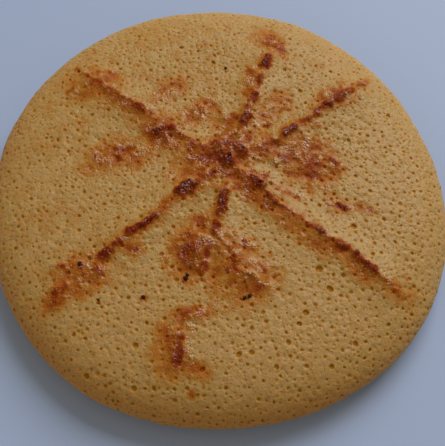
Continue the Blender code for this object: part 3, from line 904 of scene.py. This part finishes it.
def make_pore_tree():
    tree, given = new_geometry_tree("pore_pattern", PORE_SOCKETS)
    seed, middling_gap = given["Seed"], given["Middling gap"]
    wide_radius = stored(tree, "wide_radius")
    inputs = {
        "Geometry": given["Geometry"],
        "Selection": compare(tree, "GREATER_THAN", wide_radius, NO_RADIUS),
    }
    loose, sheet = add(tree, "GeometryNodeSeparateGeometry", {"domain": "POINT"}, inputs)
    wide = add(tree, "GeometryNodeMeshToPoints", None, {"Mesh": loose})[0]
    open_wide = stored(tree, "open_wide")
    middling = scatter(tree, sheet, middling_gap, given["Middling density"], open_wide, seed)["Points"]
    middling = drop_near(tree, middling, wide, middling_gap)
    sizes = given["Middling radius"], given["Largest radius"]
    middling_radius = random_between(tree, *sizes, later(tree, seed, 3.0))

    open_crumb, fine_seed = stored(tree, "open"), later(tree, seed, 1.0)
    fine = scatter(tree, sheet, given["Fine gap"], given["Fine density"], open_crumb, fine_seed)["Points"]
    reach = calculate(tree, "MULTIPLY", given["Largest radius"], LIP)
    clearance = calculate(tree, "ADD", reach, given["Smallest radius"])
    fine = drop_near(tree, fine, join(tree, (wide, middling)), clearance)
    drawn = calculate(tree, "POWER", random_between(tree, 0.0, 1.0, later(tree, seed, 2.0)), SMALL_BIAS)
    spread = calculate(tree, "SUBTRACT", given["Fine radius"], given["Smallest radius"])
    wished = calculate(tree, "MULTIPLY_ADD", drawn, spread, given["Smallest radius"])
    roomy = calculate(tree, "DIVIDE", nearest_gap(tree), 2.0 * LIP + LIP_GAP)
    fine_radius = calculate(tree, "MINIMUM", wished, roomy)

    layers = (
        lay_dishes(tree, wide, given["Wide dish"], wide_radius, 0.8, later(tree, seed, 4.0)),
        lay_dishes(tree, middling, given["Middling dish"], middling_radius, 0.60, later(tree, seed, 7.0)),
        lay_dishes(tree, fine, given["Fine dish"], fine_radius, 0.30, later(tree, seed, 10.0)),
    )
    end_tree(tree, join(tree, layers), given["Material"])
    return tree


# %% Scatter the top's pores
crumb = bpy.data.materials.new("toasted_crumb")
pore_tree = make_pore_tree()


def grow_pores(sheet, lengths, densities, seed):
    """The sheet's pattern of pores. Lengths are in mm, and densities in points for each square metre."""
    shapes = {f"{kind} dish": dishes[f"{kind.lower()}_dish"] for kind in ("Fine", "Middling", "Wide")}
    sizes = {name: length * MM for name, length in lengths.items()}
    return grow(sheet, pore_tree, {**sizes, **densities, **shapes, "Seed": seed, "Material": crumb})


top_pattern = grow_pores(
    top_sheet,
    {
        "Fine gap": 0.89,
        "Smallest radius": 0.20,
        "Fine radius": 0.46,
        "Middling gap": 1.9,
        "Middling radius": 0.34,
        "Largest radius": 0.58,
    },
    {"Fine density": 700000.0, "Middling density": 200000.0},
    7,
)
print("the top's pores have", len(top_pattern.vertices), "corners")

# %% [markdown]
# ## The underside
#
# The foot lay on the griddle, so it is flat, with the same crumb pressed smooth and fewer open pores. It
# gets its own sheet and its own run of the same tree, and shares the ring of points at the foot's edge
# with the top.

# %% Scatter the underside's pores
FOOT_SHEET_STEP = 1.5 * SHEET_STEP
EDGE_MARGIN = (3.0, 0.8)  # the same for the underside's pores, inward from the foot's edge

foot_points = round_lattice(FOOT_RADIUS, FOOT_SHEET_STEP)
from_edge = (FOOT_RADIUS - polar(foot_points)[1]) / MM
foot_open = coming_in(from_edge, *EDGE_MARGIN)
foot_sheet = flat_sheet("foot_sheet", foot_points, {"open": foot_open, "open_wide": foot_open})
foot_pattern = grow_pores(
    foot_sheet,
    {
        "Fine gap": 2.6,
        "Smallest radius": 0.25,
        "Fine radius": 0.50,
        "Middling gap": 6.0,
        "Middling radius": 0.45,
        "Largest radius": 0.75,
    },
    {"Fine density": 60000.0, "Middling density": 9000.0},
    31,
)
print("the underside's pores have", len(foot_pattern.vertices), "corners")

# %% [markdown]
# ## Knitting the skin together
#
# The dishes float in the sheet, and the crumb between them needs corners too: close together under the
# seared star, where the relief is fine, and further apart in the plain crumb. A Delaunay triangulation
# joins all of those points into one even net of triangles, with no slivers and no holes.

# %% Points between the pores
RIM_COUNT = 440
PLAIN_STEP = 0.95 * MM
FOOT_STEP = 1.5 * MM
SEARED_STEP = 0.38 * MM
SHUFFLE = 0.22  # of a step
KEEP_OFF = 0.36 * MM  # no point of the plain crumb lies closer than this to a dish
SEARED_KEEP_OFF = 0.8 * KEEP_OFF
draw = np.random.default_rng(5)


def corners(mesh):
    places = np.empty(3 * len(mesh.vertices))
    mesh.vertices.foreach_get("co", places)
    return places.reshape(-1, 3)


def shuffled_lattice(radius, step):
    """A round lattice with each point moved a little, so that its rings don't show."""
    points = round_lattice(radius, step)
    return points + draw.uniform(-SHUFFLE, SHUFFLE, points.shape) * step


def clear_of(points, others, gap):
    """The points that lie further than the gap from all of the others."""
    tree = kdtree.KDTree(len(others))
    for index, (x, y) in enumerate(others):
        tree.insert((x, y, 0.0), index)
    tree.balance()
    return points[[tree.find((x, y, 0.0))[2] > gap for x, y in points]]


def filled(pattern, radius, step, dense):
    """All flat points of a sheet, and their depths: the rim, then the dishes, then the crumb between."""
    dish_points = corners(pattern)
    coarse = shuffled_lattice(radius, step)
    fine = shuffled_lattice(radius, SEARED_STEP)
    rim = ring_points(radius, RIM_COUNT)
    taken = np.concatenate((dish_points[:, :2], rim))
    fine = clear_of(fine[dense(fine)], taken, SEARED_KEEP_OFF)
    coarse = coarse[~dense(coarse)]
    coarse = clear_of(coarse[polar(coarse)[1] < radius - 0.5 * step], taken, KEEP_OFF)
    depth = np.concatenate((np.zeros(len(rim)), -dish_points[:, 2], np.zeros(len(fine) + len(coarse))))
    return np.concatenate((rim, dish_points[:, :2], fine, coarse)), depth


# %% Fill the top and the foot
SEARED_FROM = 0.15  # the net is fine where the crust is more seared or more toasted than this
TOASTED_FROM = 0.32


def under_star(flat):
    places, _ = wrap(flat)
    return (star_relief(strayed(places))[1] > SEARED_FROM) | (toasting(places) > TOASTED_FROM)


def nowhere(flat):
    return np.zeros(len(flat), bool)


top_flat, top_depth = filled(top_pattern, LENGTH, PLAIN_STEP, under_star)
foot_flat, foot_depth = filled(foot_pattern, FOOT_RADIUS, FOOT_STEP, nowhere)
print("points in the top and the foot:", len(top_flat), len(foot_flat))

# %% [markdown]
# ### The finer unevenness
#
# The real crust heaves a little all over, has a soft orange peel where it is pale, and breaks into crags
# and knobs where it seared. Each is a layer of noise of its own size. They also carry painted light and
# shade into the colour: on the back right of each ridge, which faces the window, the raised crests are
# painted pale as if lit, and the hollows between them amber, partly as painted shade.

# %% Heights of the finer unevenness, and what they do to the colour
TOP_BLEND = (0.30, 0.35)  # share of the profile over which the star comes in, and the share at its start
FOOT_BLEND = 0.08  # share of the profile over which the heaving comes in
HEAVE_HEIGHT = 0.30 * MM
HEAVE_SIZE = 15.0 * MM
PEEL_HEIGHT = 0.16 * MM
PEEL_SIZE = 2.2 * MM
CRAG_HEIGHT = 0.50 * MM
CRAG_SIZE = 2.4 * MM
KNOB_HEIGHT = 0.50 * MM
KNOB_SIZE = 1.3 * MM
ROUGH_RISE = 2.2  # crust is wholly rough from a toasting of 1 divided by this
CREST_PALING_RISE = 3.0  # and its crests are painted pale in full from a toasting of 1 divided by this
RIM_SHADE_AMBER = 0.11  # painted shade: the left and front of the loaf's side, away from the window, are made a little more amber than its top
RIM_SHADE_SHARE = 0.20  # of the way from the foot to the crown
LIT_SIDE_ANGLE = math.radians(50.0)  # where the loaf's side faces the window, and no shade is painted on it
WINDOW_SIDE = np.array((0.50, 0.87))  # toward the window: the crests on this side of each ridge are painted pale, as if lit
UNLIT_CREST_PALING = 0.2  # how pale the crests are painted on the side away from the window
STEEPNESS = (0.65, 2.2)  # how pale a level spot's crests are painted, and how fast that falls as the crust climbs toward the window
RAISED = (0.26, 1.5, 0.8)  # how far raised a level spot is, and what a knob and a crag add
DARK_FROM = 0.30  # crests are painted pale only where the crust is toasted less than this
DARK_BLEND = 0.25  # and from this much more on, none do
HOLLOW_AMBER_AND_SHADE = 0.14  # the hollows of stained crust are browner by this: partly toasting, partly painted shade
LEAST_ROUGH = 0.10  # of the hollows, against the crests


# %% The skin of the top
def skin_top(flat, depth):
    """Places of the top's points on the finished crust, how toasted each is, with painted light and shade in
    that, and how rough.
    """
    places, normals = wrap(flat)
    angle, distance = polar(flat)
    to_foot = 1.0 - distance / LENGTH
    on_top = coming_in(to_foot, *TOP_BLEND)
    above_foot = coming_in(to_foot, FOOT_BLEND)
    spots = strayed(places)
    relief, seared = star_relief(spots)
    climb = (star_relief(spots + WINDOW_SIDE)[0] - star_relief(spots - WINDOW_SIDE)[0]) / (2.0 * MM)

    toast = toasting(places) * on_top
    # Painted shade: the side of the loaf turned away from the window is made more amber.
    rim_shade = smooth_step(0.5 - 0.8 * np.cos(angle - LIT_SIDE_ANGLE))
    toast += RIM_SHADE_AMBER * rim_shade * smooth_step(1.5 - to_foot / RIM_SHADE_SHARE)
    rough = np.maximum(seared, np.clip(ROUGH_RISE * toast, 0.0, 1.0))
    knob = noise_at(places, KNOB_SIZE, 17.0)
    crag = noise_at(places, CRAG_SIZE, 9.0)
    raised = smooth_step(RAISED[0] + RAISED[1] * knob + RAISED[2] * crag)
    stained = 1.0 - smooth_step((toast - DARK_FROM) / DARK_BLEND)
    # Painted light and shade: raised crests on the side facing the window are made pale as if lit, and
    # hollows browner as if shaded.
    facing_window = UNLIT_CREST_PALING + (1.0 - UNLIT_CREST_PALING) * smooth_step(STEEPNESS[0] - STEEPNESS[1] * climb)
    lit_crest_paling = np.clip(CREST_PALING_RISE * toast, 0.0, 1.0) * facing_window * on_top
    toast = toast * (1.0 + (HOLLOW_AMBER_AND_SHADE - raised * lit_crest_paling) * stained)

    rise = (relief + CRAG_HEIGHT * crag * rough) * on_top
    rise += HEAVE_HEIGHT * noise_at(places, HEAVE_SIZE, 3.0) * above_foot
    rise += PEEL_HEIGHT * noise_at(places, PEEL_SIZE, 13.0) * above_foot
    rise += KNOB_HEIGHT * knob * rough * on_top
    rise[to_foot < 1e-4] = 0.0
    rough = rough * on_top * (LEAST_ROUGH + (1.0 - LEAST_ROUGH) * raised)
    return places + normals * (rise - depth)[:, None], toast, rough


# %% The skin of the underside
PRESSED = 0.06 * MM
FOOT_INWARD = 4.0 * MM
FOOT_TOAST = (0.16, 0.20, 0.5)  # its middling level, its mottling, and the most there is


def skin_foot(flat, depth):
    """The same for the underside. Its pores sink upward, and nothing hangs below the surface it lies on."""
    angle, distance = polar(flat)
    spots = flat * (loaf_radius(angle) / RADIUS)[:, None]
    places = np.column_stack((spots, np.zeros(len(flat))))
    inward = coming_in(FOOT_RADIUS - distance, FOOT_INWARD)
    places[:, 2] = depth * inward + PRESSED * (1.0 + noise_at(places, 4.0 * MM, 61.0)) * inward
    mottle = noise_at(places, 9.0 * MM, 83.0) + 0.6 * noise_at(places, 3.0 * MM, 87.0)
    toast = np.clip(FOOT_TOAST[0] + FOOT_TOAST[1] * mottle, 0.0, FOOT_TOAST[2]) * inward
    return places, toast, np.zeros(len(flat))


# %% Knit, wrap and close
def knit_sheet(flat, depth, skin):
    """Which flat point each corner is, the triangles, and the place and the values of each corner."""
    source, faces = knit(flat, RIM_COUNT)
    places, toast, rough = skin(flat[source], depth[source])
    return source, faces, places, np.stack((toast, rough, depth[source] / MM))


top_source, top_faces, top_places, top_values = knit_sheet(top_flat, top_depth, skin_top)
foot_source, foot_faces, foot_places, foot_values = knit_sheet(foot_flat, foot_depth, skin_foot)

# The foot's rim points are the top's rim points: both lists start with them.
top_of_rim = {source: index for index, source in enumerate(top_source) if source < RIM_COUNT}
inner = np.flatnonzero(foot_source >= RIM_COUNT)
numbers = np.empty(len(foot_source), int)
numbers[inner] = len(top_places) + np.arange(len(inner))
for index in np.flatnonzero(foot_source < RIM_COUNT):
    numbers[index] = top_of_rim[foot_source[index]]

skin_places = np.concatenate((top_places, foot_places[inner]))
skin_faces = np.concatenate((top_faces, numbers[foot_faces][:, ::-1]))
skin_values = np.concatenate((top_values, foot_values[:, inner]), axis=1)
box_middle = 0.5 * (skin_places.max(axis=0) + skin_places.min(axis=0))
solid_middle = 0.5 * (np.array(low) + np.array(high))
skin_places[:, :2] += (solid_middle - box_middle)[:2]
print("the skin has", len(skin_places), "corners and", len(skin_faces), "triangles")

# %% The skin as a mesh
named_values = dict(zip(("toast", "rough", "sink"), skin_values))
bread_mesh = mesh_of("semolina_bread", skin_places.tolist(), skin_faces.tolist(), named_values)
bread_mesh.shade_smooth()
bread_mesh.materials.append(crumb)
bread = in_scene("semolina_bread", bread_mesh)
for helper in (top_sheet, foot_sheet, *dishes.values()):
    bpy.data.objects.remove(helper)

check = bmesh.new()
check.from_mesh(bread_mesh)
print("open or doubled edges in the skin:", sum(not edge.is_manifold for edge in check.edges))
print("the skin's volume in cubic centimetres:", round(check.calc_volume() * 1e6, 1))
check.free()

# %% [markdown]
# ## The crust's finish
#
# One set of nodes finishes the pale crumb and the seared crust alike, so that one runs into the other as
# it does on a real griddle bread. The "toast" value picks a colour from pale cream over amber to
# red-brown, and fine noise frays it; the hollows of the peel and grit get browner colour, as painted shade.
# The "sink" value, and a scatter of pinholes too small for the mesh, make the inside of each pore a deeper
# amber, which is painted shade. The "rough" value turns the soft peel into pebbles and adds a thin glaze
# that glints on them. Light passes through the crumb and warms its small shadows. Loose grains get the
# same finish, but they shine a little more, and less light passes through them.

# %% The colours of toasting
TOASTING = (
    (0.00, (0.600, 0.382, 0.190)),
    (0.10, (0.470, 0.294, 0.100)),
    (0.22, (0.448, 0.194, 0.030)),
    (0.36, (0.400, 0.120, 0.010)),
    (0.54, (0.300, 0.056, 0.005)),
    (0.70, (0.220, 0.028, 0.004)),
    (0.86, (0.150, 0.014, 0.003)),
    (1.00, (0.085, 0.007, 0.003)),
)
PALE_CRUMB = 0.085  # where plain crumb lies along those colours
# Painted shade: the inside of each pore, and each pinhole, is made a deeper amber.
PORE_SHADE_COLOUR = (0.95, 0.68, 0.10, 1.0)


def ramp_between(tree, factor, stops):
    """A colour ramp with these (position, colour) stops."""
    out = add(tree, "ShaderNodeValToRGB", None, {"Fac": factor})
    ramp = out[0].node.color_ramp
    while len(ramp.elements) < len(stops):
        ramp.elements.new(0.5)
    for element, (position, colour) in zip(ramp.elements, stops):
        element.position = position
        element.color = (*colour, 1.0)
    return out[0]


# %% Patterns of the crust, with sizes in mm
FLECK_SIZE = 0.45
PEEL_GRAIN = 1.2
GRIT_SIZE = 0.50
PEBBLE_SIZE = 1.1
PINHOLE_GAP = 1.15
PINHOLE_EDGE = {"From Min": 0.10, "From Max": 0.22, "To Min": 0.8, "To Max": 0.0}  # in gaps, and how deep


def noise_texture(tree, spot, size, detail):
    """Smooth noise of about -0.5 to 0.5, with features of this size."""
    inputs = {"Vector": spot, "Scale": 1.0 / (size * MM), "Detail": detail}
    return calculate(tree, "SUBTRACT", add(tree, "ShaderNodeTexNoise", None, inputs)["Fac"], 0.5)


def pebbles(tree, spot, size, smoothness):
    """Depth below the tops of rounded pebbles of this size."""
    inputs = {"Vector": spot, "Scale": 1.0 / (size * MM), "Smoothness": smoothness}
    return add(tree, "ShaderNodeTexVoronoi", {"feature": "SMOOTH_F1"}, inputs)["Distance"]


def pinholes(tree, spot):
    """Nearly 1 in the middle of pinholes too small for the mesh, 0 outside them."""
    inputs = {"Vector": spot, "Scale": 1.0 / (PINHOLE_GAP * MM), "Randomness": 1.0}
    distance = add(tree, "ShaderNodeTexVoronoi", {"feature": "F1"}, inputs)["Distance"]
    inputs = {"Value": distance, **PINHOLE_EDGE}
    return add(tree, "ShaderNodeMapRange", {"interpolation_type": "SMOOTHSTEP"}, inputs)[0]


# %% The colour
SWING = 0.45  # how far grit and peel shift the colour, against how toasted it is; their hollows get browner, as painted shade
LEAST_SWING = 0.02
GRIT_MIDDLE, GRIT_SHARE = 0.40, 0.5
SINK_SHADE = 3.6  # the inside of a pore is wholly painted with pore shade from a depth in mm of 1 divided by this
FLECKS = 0.4


def crust_colour(tree, toast, sink, fleck, peel, grit, pinhole):
    """The colour of toasting, browner in the hollows than on tops as painted shade, amber in the pores as
    painted shade, and flecked.
    """
    swing = calculate(tree, "MAXIMUM", calculate(tree, "MULTIPLY", toast, SWING), LEAST_SWING)
    # Painted shade: the hollows of the peel and grit are made browner than their tops.
    hollows = calculate(tree, "MULTIPLY", peel, -1.0)
    low_grit = calculate(tree, "SUBTRACT", grit, GRIT_MIDDLE)
    hollows = calculate(tree, "MULTIPLY_ADD", low_grit, GRIT_SHARE, hollows)
    level = calculate(tree, "MULTIPLY_ADD", toast, 1.0 - PALE_CRUMB, PALE_CRUMB)
    browned = ramp_between(tree, calculate(tree, "MULTIPLY_ADD", hollows, swing, level), TOASTING)
    # Painted shade in the pores and pinholes.
    inside = calculate(tree, "MINIMUM", calculate(tree, "MULTIPLY_ADD", sink, SINK_SHADE, pinhole), 1.0)
    inputs = {"Fac": inside, "Color1": browned, "Color2": PORE_SHADE_COLOUR}
    mix = add(tree, "ShaderNodeMixRGB", {"blend_type": "MULTIPLY"}, inputs)[0]
    lighter = calculate(tree, "MULTIPLY_ADD", fleck, FLECKS, 1.0)
    return add(tree, "ShaderNodeHueSaturation", None, {"Color": mix, "Value": lighter})[0]


# %% The bumps and the glaze
PEBBLE_BUMPS = (-1.3, -0.95)  # what roughness adds, and what smooth crumb has; below 0, as pebbles are depths
GRIT_BUMPS = (-1.1, -0.40)
BUMP_DEPTH = 0.20 * MM
GLAZE = 0.88  # on wholly rough crust
GLAZE_BY_TOAST = -0.5
LEAST_GLAZE = 0.05


def crust_bumps(tree, spot, rough, peel, grit, pinhole):
    """Soft peel everywhere, and pebbles and grit that grow with roughness, with pinholes sunk in them."""
    lumpy = calculate(tree, "MULTIPLY_ADD", rough, *PEBBLE_BUMPS)
    gritty = calculate(tree, "MULTIPLY_ADD", rough, *GRIT_BUMPS)
    height = calculate(tree, "MULTIPLY_ADD", pebbles(tree, spot, PEBBLE_SIZE, 1.0), lumpy, peel)
    height = calculate(tree, "MULTIPLY_ADD", grit, gritty, height)
    height = calculate(tree, "SUBTRACT", height, pinhole)
    inputs = {"Height": height, "Strength": 1.0, "Distance": BUMP_DEPTH}
    return add(tree, "ShaderNodeBump", None, inputs)["Normal"]


def crust_glaze(tree, toast, rough, coat):
    """A thin glaze on the rough crust, and less of it where the crust is darkest."""
    glaze = calculate(tree, "MULTIPLY_ADD", rough, GLAZE, coat)
    glaze = calculate(tree, "MULTIPLY_ADD", toast, GLAZE_BY_TOAST, glaze)
    return calculate(tree, "MAXIMUM", glaze, LEAST_GLAZE)


# %% One finish for the crumb and the grains
def finish_crust(material, coat, subsurface):
    """Colour, bumps and glaze on the material's shader, with this much glaze when smooth."""
    material.use_nodes = True
    tree = material.node_tree
    spot = add(tree, "ShaderNodeTexCoord")["Object"]
    names = ("toast", "rough", "sink")
    toast, rough, sink = (add(tree, "ShaderNodeAttribute", {"attribute_name": name})["Fac"] for name in names)
    fleck, peel = noise_texture(tree, spot, FLECK_SIZE, 1.0), noise_texture(tree, spot, PEEL_GRAIN, 2.0)
    grit, pinhole = pebbles(tree, spot, GRIT_SIZE, 0.35), pinholes(tree, spot)
    bumps = crust_bumps(tree, spot, rough, peel, grit, pinhole)
    surface = {
        "Base Color": crust_colour(tree, toast, sink, fleck, peel, grit, pinhole),
        "Roughness": 0.50,
        "Specular IOR Level": 0.06,
        "Normal": bumps,
        "Coat Weight": crust_glaze(tree, toast, rough, coat),
        "Coat Roughness": 0.28,
        "Coat IOR": 1.9,
        "Coat Normal": bumps,
        "Subsurface Weight": subsurface,
        "Subsurface Radius": (1.0, 0.4, 0.1),
        "Subsurface Scale": 1.3 * MM,
    }
    fill(tree, tree.nodes["Principled BSDF"], surface)


finish_crust(crumb, coat=0.11, subsurface=0.80)
seared_grain = bpy.data.materials.new("seared_grain")
finish_crust(seared_grain, coat=0.15, subsurface=0.15)

# %% [markdown]
# ## Toasted grains and charred specks
#
# On the seared crust, single grains of semolina stand out and catch the light, and a few crumbs have
# charred black. Painting them would leave the crust flat. A second tree scatters small stones over the
# toasted parts of the finished crust, half sunk in it, each less toasted than the crust it sits on. The
# charred specks have places of their own, so they are laid out from a list.


# %% One small stone
def make_stone(name, roughness, seed):
    """A stone of 20 faces, one unit in radius, with each corner pulled in or out."""
    pull = np.random.default_rng(seed)
    shape = bmesh.new()
    bmesh.ops.create_icosphere(shape, subdivisions=1, radius=1.0)
    for corner in shape.verts:
        corner.co *= 1.0 + roughness * pull.uniform(-1.0, 1.0)
    stone = shape_in_scene(name, shape)
    stone.data.shade_smooth()
    return stone


# %% The tree that scatters the grains
GRAIN_SOCKETS = {
    "Float": ("Gap", "Density", "Least toast", "Least height", "Smallest", "Largest", "Palest", "Brownest"),
    "Int": ("Seed",),
    "Object": ("Grain",),
    "Material": ("Material",),
}
GRAIN_RISE = 7.0  # grains lie closest from 1 divided by this above the least toasting
SUNK = (-0.80, -0.45)  # how far a grain may sink into the crust, in its own radii


def any_turn(tree, seed):
    """A random rotation."""
    inputs = {0: (0.0, 0.0, 0.0), 1: (2.0 * math.pi,) * 3, "Seed": seed}
    return add(tree, "FunctionNodeRandomValue", {"data_type": "FLOAT_VECTOR"}, inputs)[0]


def make_grain_tree():
    tree, given = new_geometry_tree("grain_scatter", GRAIN_SOCKETS)
    seed = given["Seed"]
    toast = stored(tree, "toast")
    above = calculate(tree, "MULTIPLY", calculate(tree, "SUBTRACT", toast, given["Least toast"]), GRAIN_RISE)
    share = calculate(tree, "MAXIMUM", calculate(tree, "MINIMUM", above, 1.0), 0.0)
    height = add(tree, "ShaderNodeSeparateXYZ", None, {0: add(tree, "GeometryNodeInputPosition")[0]})["Z"]
    share = calculate(tree, "MULTIPLY", share, calculate(tree, "GREATER_THAN", height, given["Least height"]))
    found = scatter(tree, given["Geometry"], given["Gap"], given["Density"], share, seed)
    size = random_between(tree, given["Smallest"], given["Largest"], later(tree, seed, 1.0))
    sunk = calculate(tree, "MULTIPLY", size, random_between(tree, *SUNK, later(tree, seed, 2.0)))
    offset = add(tree, "ShaderNodeVectorMath", {"operation": "SCALE"}, {0: found["Normal"], "Scale": sunk})[0]
    placed = add(tree, "GeometryNodeSetPosition", None, {"Geometry": found["Points"], "Offset": offset})[0]
    brownness = random_between(tree, given["Palest"], given["Brownest"], later(tree, seed, 3.0))
    inputs = {"Geometry": placed, "Name": "toast", "Value": calculate(tree, "MULTIPLY", toast, brownness)}
    toasted = add(tree, "GeometryNodeStoreNamedAttribute", {"data_type": "FLOAT"}, inputs)[0]
    laid = lay(tree, toasted, given["Grain"], any_turn(tree, later(tree, seed, 4.0)), size)
    end_tree(tree, laid, given["Material"])
    return tree


# %% Run the tree twice: fine grains over all the toasted crust, and lumps over the darkest of it
GRAIN_GAP = 0.75 * MM
GRAIN_DENSITY = 3.0e6
LEAST_HEIGHT = 2.0 * MM  # no grains on the underside

grain_stone = make_stone("grain_stone", 0.25, 3)
grain_tree = make_grain_tree()


def scatter_grains(name, values):
    shared = {"Grain": grain_stone, "Material": seared_grain, "Gap": GRAIN_GAP, "Density": GRAIN_DENSITY}
    mesh = grow(bread, grain_tree, {**shared, "Least height": LEAST_HEIGHT, **values})
    mesh.name = name
    stones = len(mesh.polygons) // len(grain_stone.data.polygons)
    print(name, "has", stones, "stones and", len(mesh.polygons), "triangles")
    return in_scene(name, mesh)


toasted_grains = scatter_grains(
    "toasted_grains",
    {
        "Least toast": 0.16,
        "Smallest": 0.20 * MM,
        "Largest": 0.40 * MM,
        "Palest": 0.2,
        "Brownest": 0.8,
        "Seed": 12,
    },
)
seared_lumps = scatter_grains(
    "seared_lumps",
    {
        "Least toast": 0.50,
        "Smallest": 0.42 * MM,
        "Largest": 0.80 * MM,
        "Palest": 0.75,
        "Brownest": 1.0,
        "Seed": 40,
    },
)
bpy.data.objects.remove(grain_stone)

# %% Charred specks: (x, y) and radius, in mm
SPECKS = (
    (-7.5, -25.0, 0.80),
    (-7.0, -24.2, 0.60),
    (5.8, -29.9, 0.55),
    (7.1, -29.4, 0.60),
    (-17.0, -29.3, 0.65),
    (-27.3, -29.7, 0.60),
    (2.5, 33.5, 0.50),
    (-31.8, -21.2, 0.60),
    (2.9, 6.1, 0.60),
    (6.4, 8.6, 0.55),
    (10.2, -1.0, 0.50),
)
SPECK_SUNK = 0.12 * MM
SPECK_SOCKETS = {"Object": ("Speck",), "Int": ("Seed",), "Material": ("Material",)}


def make_speck_tree():
    tree, given = new_geometry_tree("speck_layout", SPECK_SOCKETS)
    points = add(tree, "GeometryNodeMeshToPoints", None, {"Mesh": given["Geometry"]})[0]
    laid = lay(tree, points, given["Speck"], any_turn(tree, given["Seed"]), stored(tree, "size"))
    end_tree(tree, laid, given["Material"])
    return tree


def plain_finish(name, values):
    """A new material with these values on its shader."""
    material = bpy.data.materials.new(name)
    material.use_nodes = True
    fill(material.node_tree, material.node_tree.nodes["Principled BSDF"], values)
    return material


black = {"Base Color": (0.050, 0.016, 0.008, 1.0), "Roughness": 0.7, "Specular IOR Level": 0.06}
charred = plain_finish("charred_crumb", black)
specks = np.array(SPECKS) * MM
places, _, _ = skin_top(unwrap(specks[:, :2]), np.full(len(specks), SPECK_SUNK))
speck_points = in_scene("speck_points", mesh_of("speck_points", places.tolist(), [], {"size": specks[:, 2]}))
speck_stone = make_stone("speck_stone", 0.45, 8)
speck_mesh = grow(speck_points, make_speck_tree(), {"Speck": speck_stone, "Seed": 5, "Material": charred})
speck_mesh.name = "charred_specks"
charred_specks = in_scene("charred_specks", speck_mesh)
for helper in (speck_points, speck_stone):
    bpy.data.objects.remove(helper)
print("charred specks:", len(SPECKS), "with", len(speck_mesh.polygons), "triangles")

# %% Hand the pieces to the frame
for piece in (bread, toasted_grains, seared_lumps, charred_specks):
    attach(piece, "root")
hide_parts("bread")

# %% [markdown]
# ## Floor, light and camera
#
# The bread lies on a plain pale floor. A soft window behind it on the right rakes across the crust, which
# brings out its pores and glints on the glaze. The room and a weak warm glow from the front left fill the
# shadows, and make no highlights of their own.

# %% The floor
FLOOR_SIZE = 3.0

half = FLOOR_SIZE / 2.0
floor_corners = [(-half, -half, 0.0), (half, -half, 0.0), (half, half, 0.0), (-half, half, 0.0)]
floor = in_scene("floor", mesh_of("floor", floor_corners, [(0, 1, 2, 3)], {}))
pale = plain_finish("floor", {"Base Color": (0.360, 0.460, 0.690, 1.0), "Roughness": 0.6})
floor.data.materials.append(pale)


# %% The light
def aim(thing, place, target):
    thing.location = place
    thing.rotation_euler = (Vector(target) - Vector(place)).to_track_quat("-Z", "Y").to_euler()


def soft_light(name, place, size, power, colour):
    lamp = bpy.data.lights.new(name, "AREA")
    lamp.size = size
    lamp.energy = power
    lamp.color = colour
    light = in_scene(name, lamp)
    aim(light, place, (0.0, 0.0, 0.0))
    return light


soft_light("window", (0.52, 0.90, 0.95), 0.90, 14.8, (1.0, 0.985, 0.99))
glow = soft_light("glow", (-0.60, -0.60, 0.35), 0.60, 0.8, (1.0, 0.88, 0.70))
glow.visible_glossy = False
world = bpy.data.worlds.new("room")
bpy.context.scene.world = world
world.use_nodes = True
room = {"Color": (1.0, 0.89, 0.70, 1.0), "Strength": 0.32}
fill(world.node_tree, world.node_tree.nodes["Background"], room)
world.cycles_visibility.glossy = False

# %% The camera
CAMERA_DISTANCE = 0.210
CAMERA_TILT = math.radians(62.0)
LENS = 68.3
MIDDLE = Vector((0.0, 0.0, 7.0 * MM))
TARGET = (0.00115, -0.0078, 7.0 * MM)

camera_data = bpy.data.cameras.new("camera")
camera_data.lens = LENS
camera_data.clip_start = 0.01
camera = in_scene("camera", camera_data)
aim(camera, MIDDLE + CAMERA_DISTANCE * Vector((0.0, -math.cos(CAMERA_TILT), math.sin(CAMERA_TILT))), TARGET)
bpy.context.scene.camera = camera
bpy.context.scene.view_settings.view_transform = "Standard"
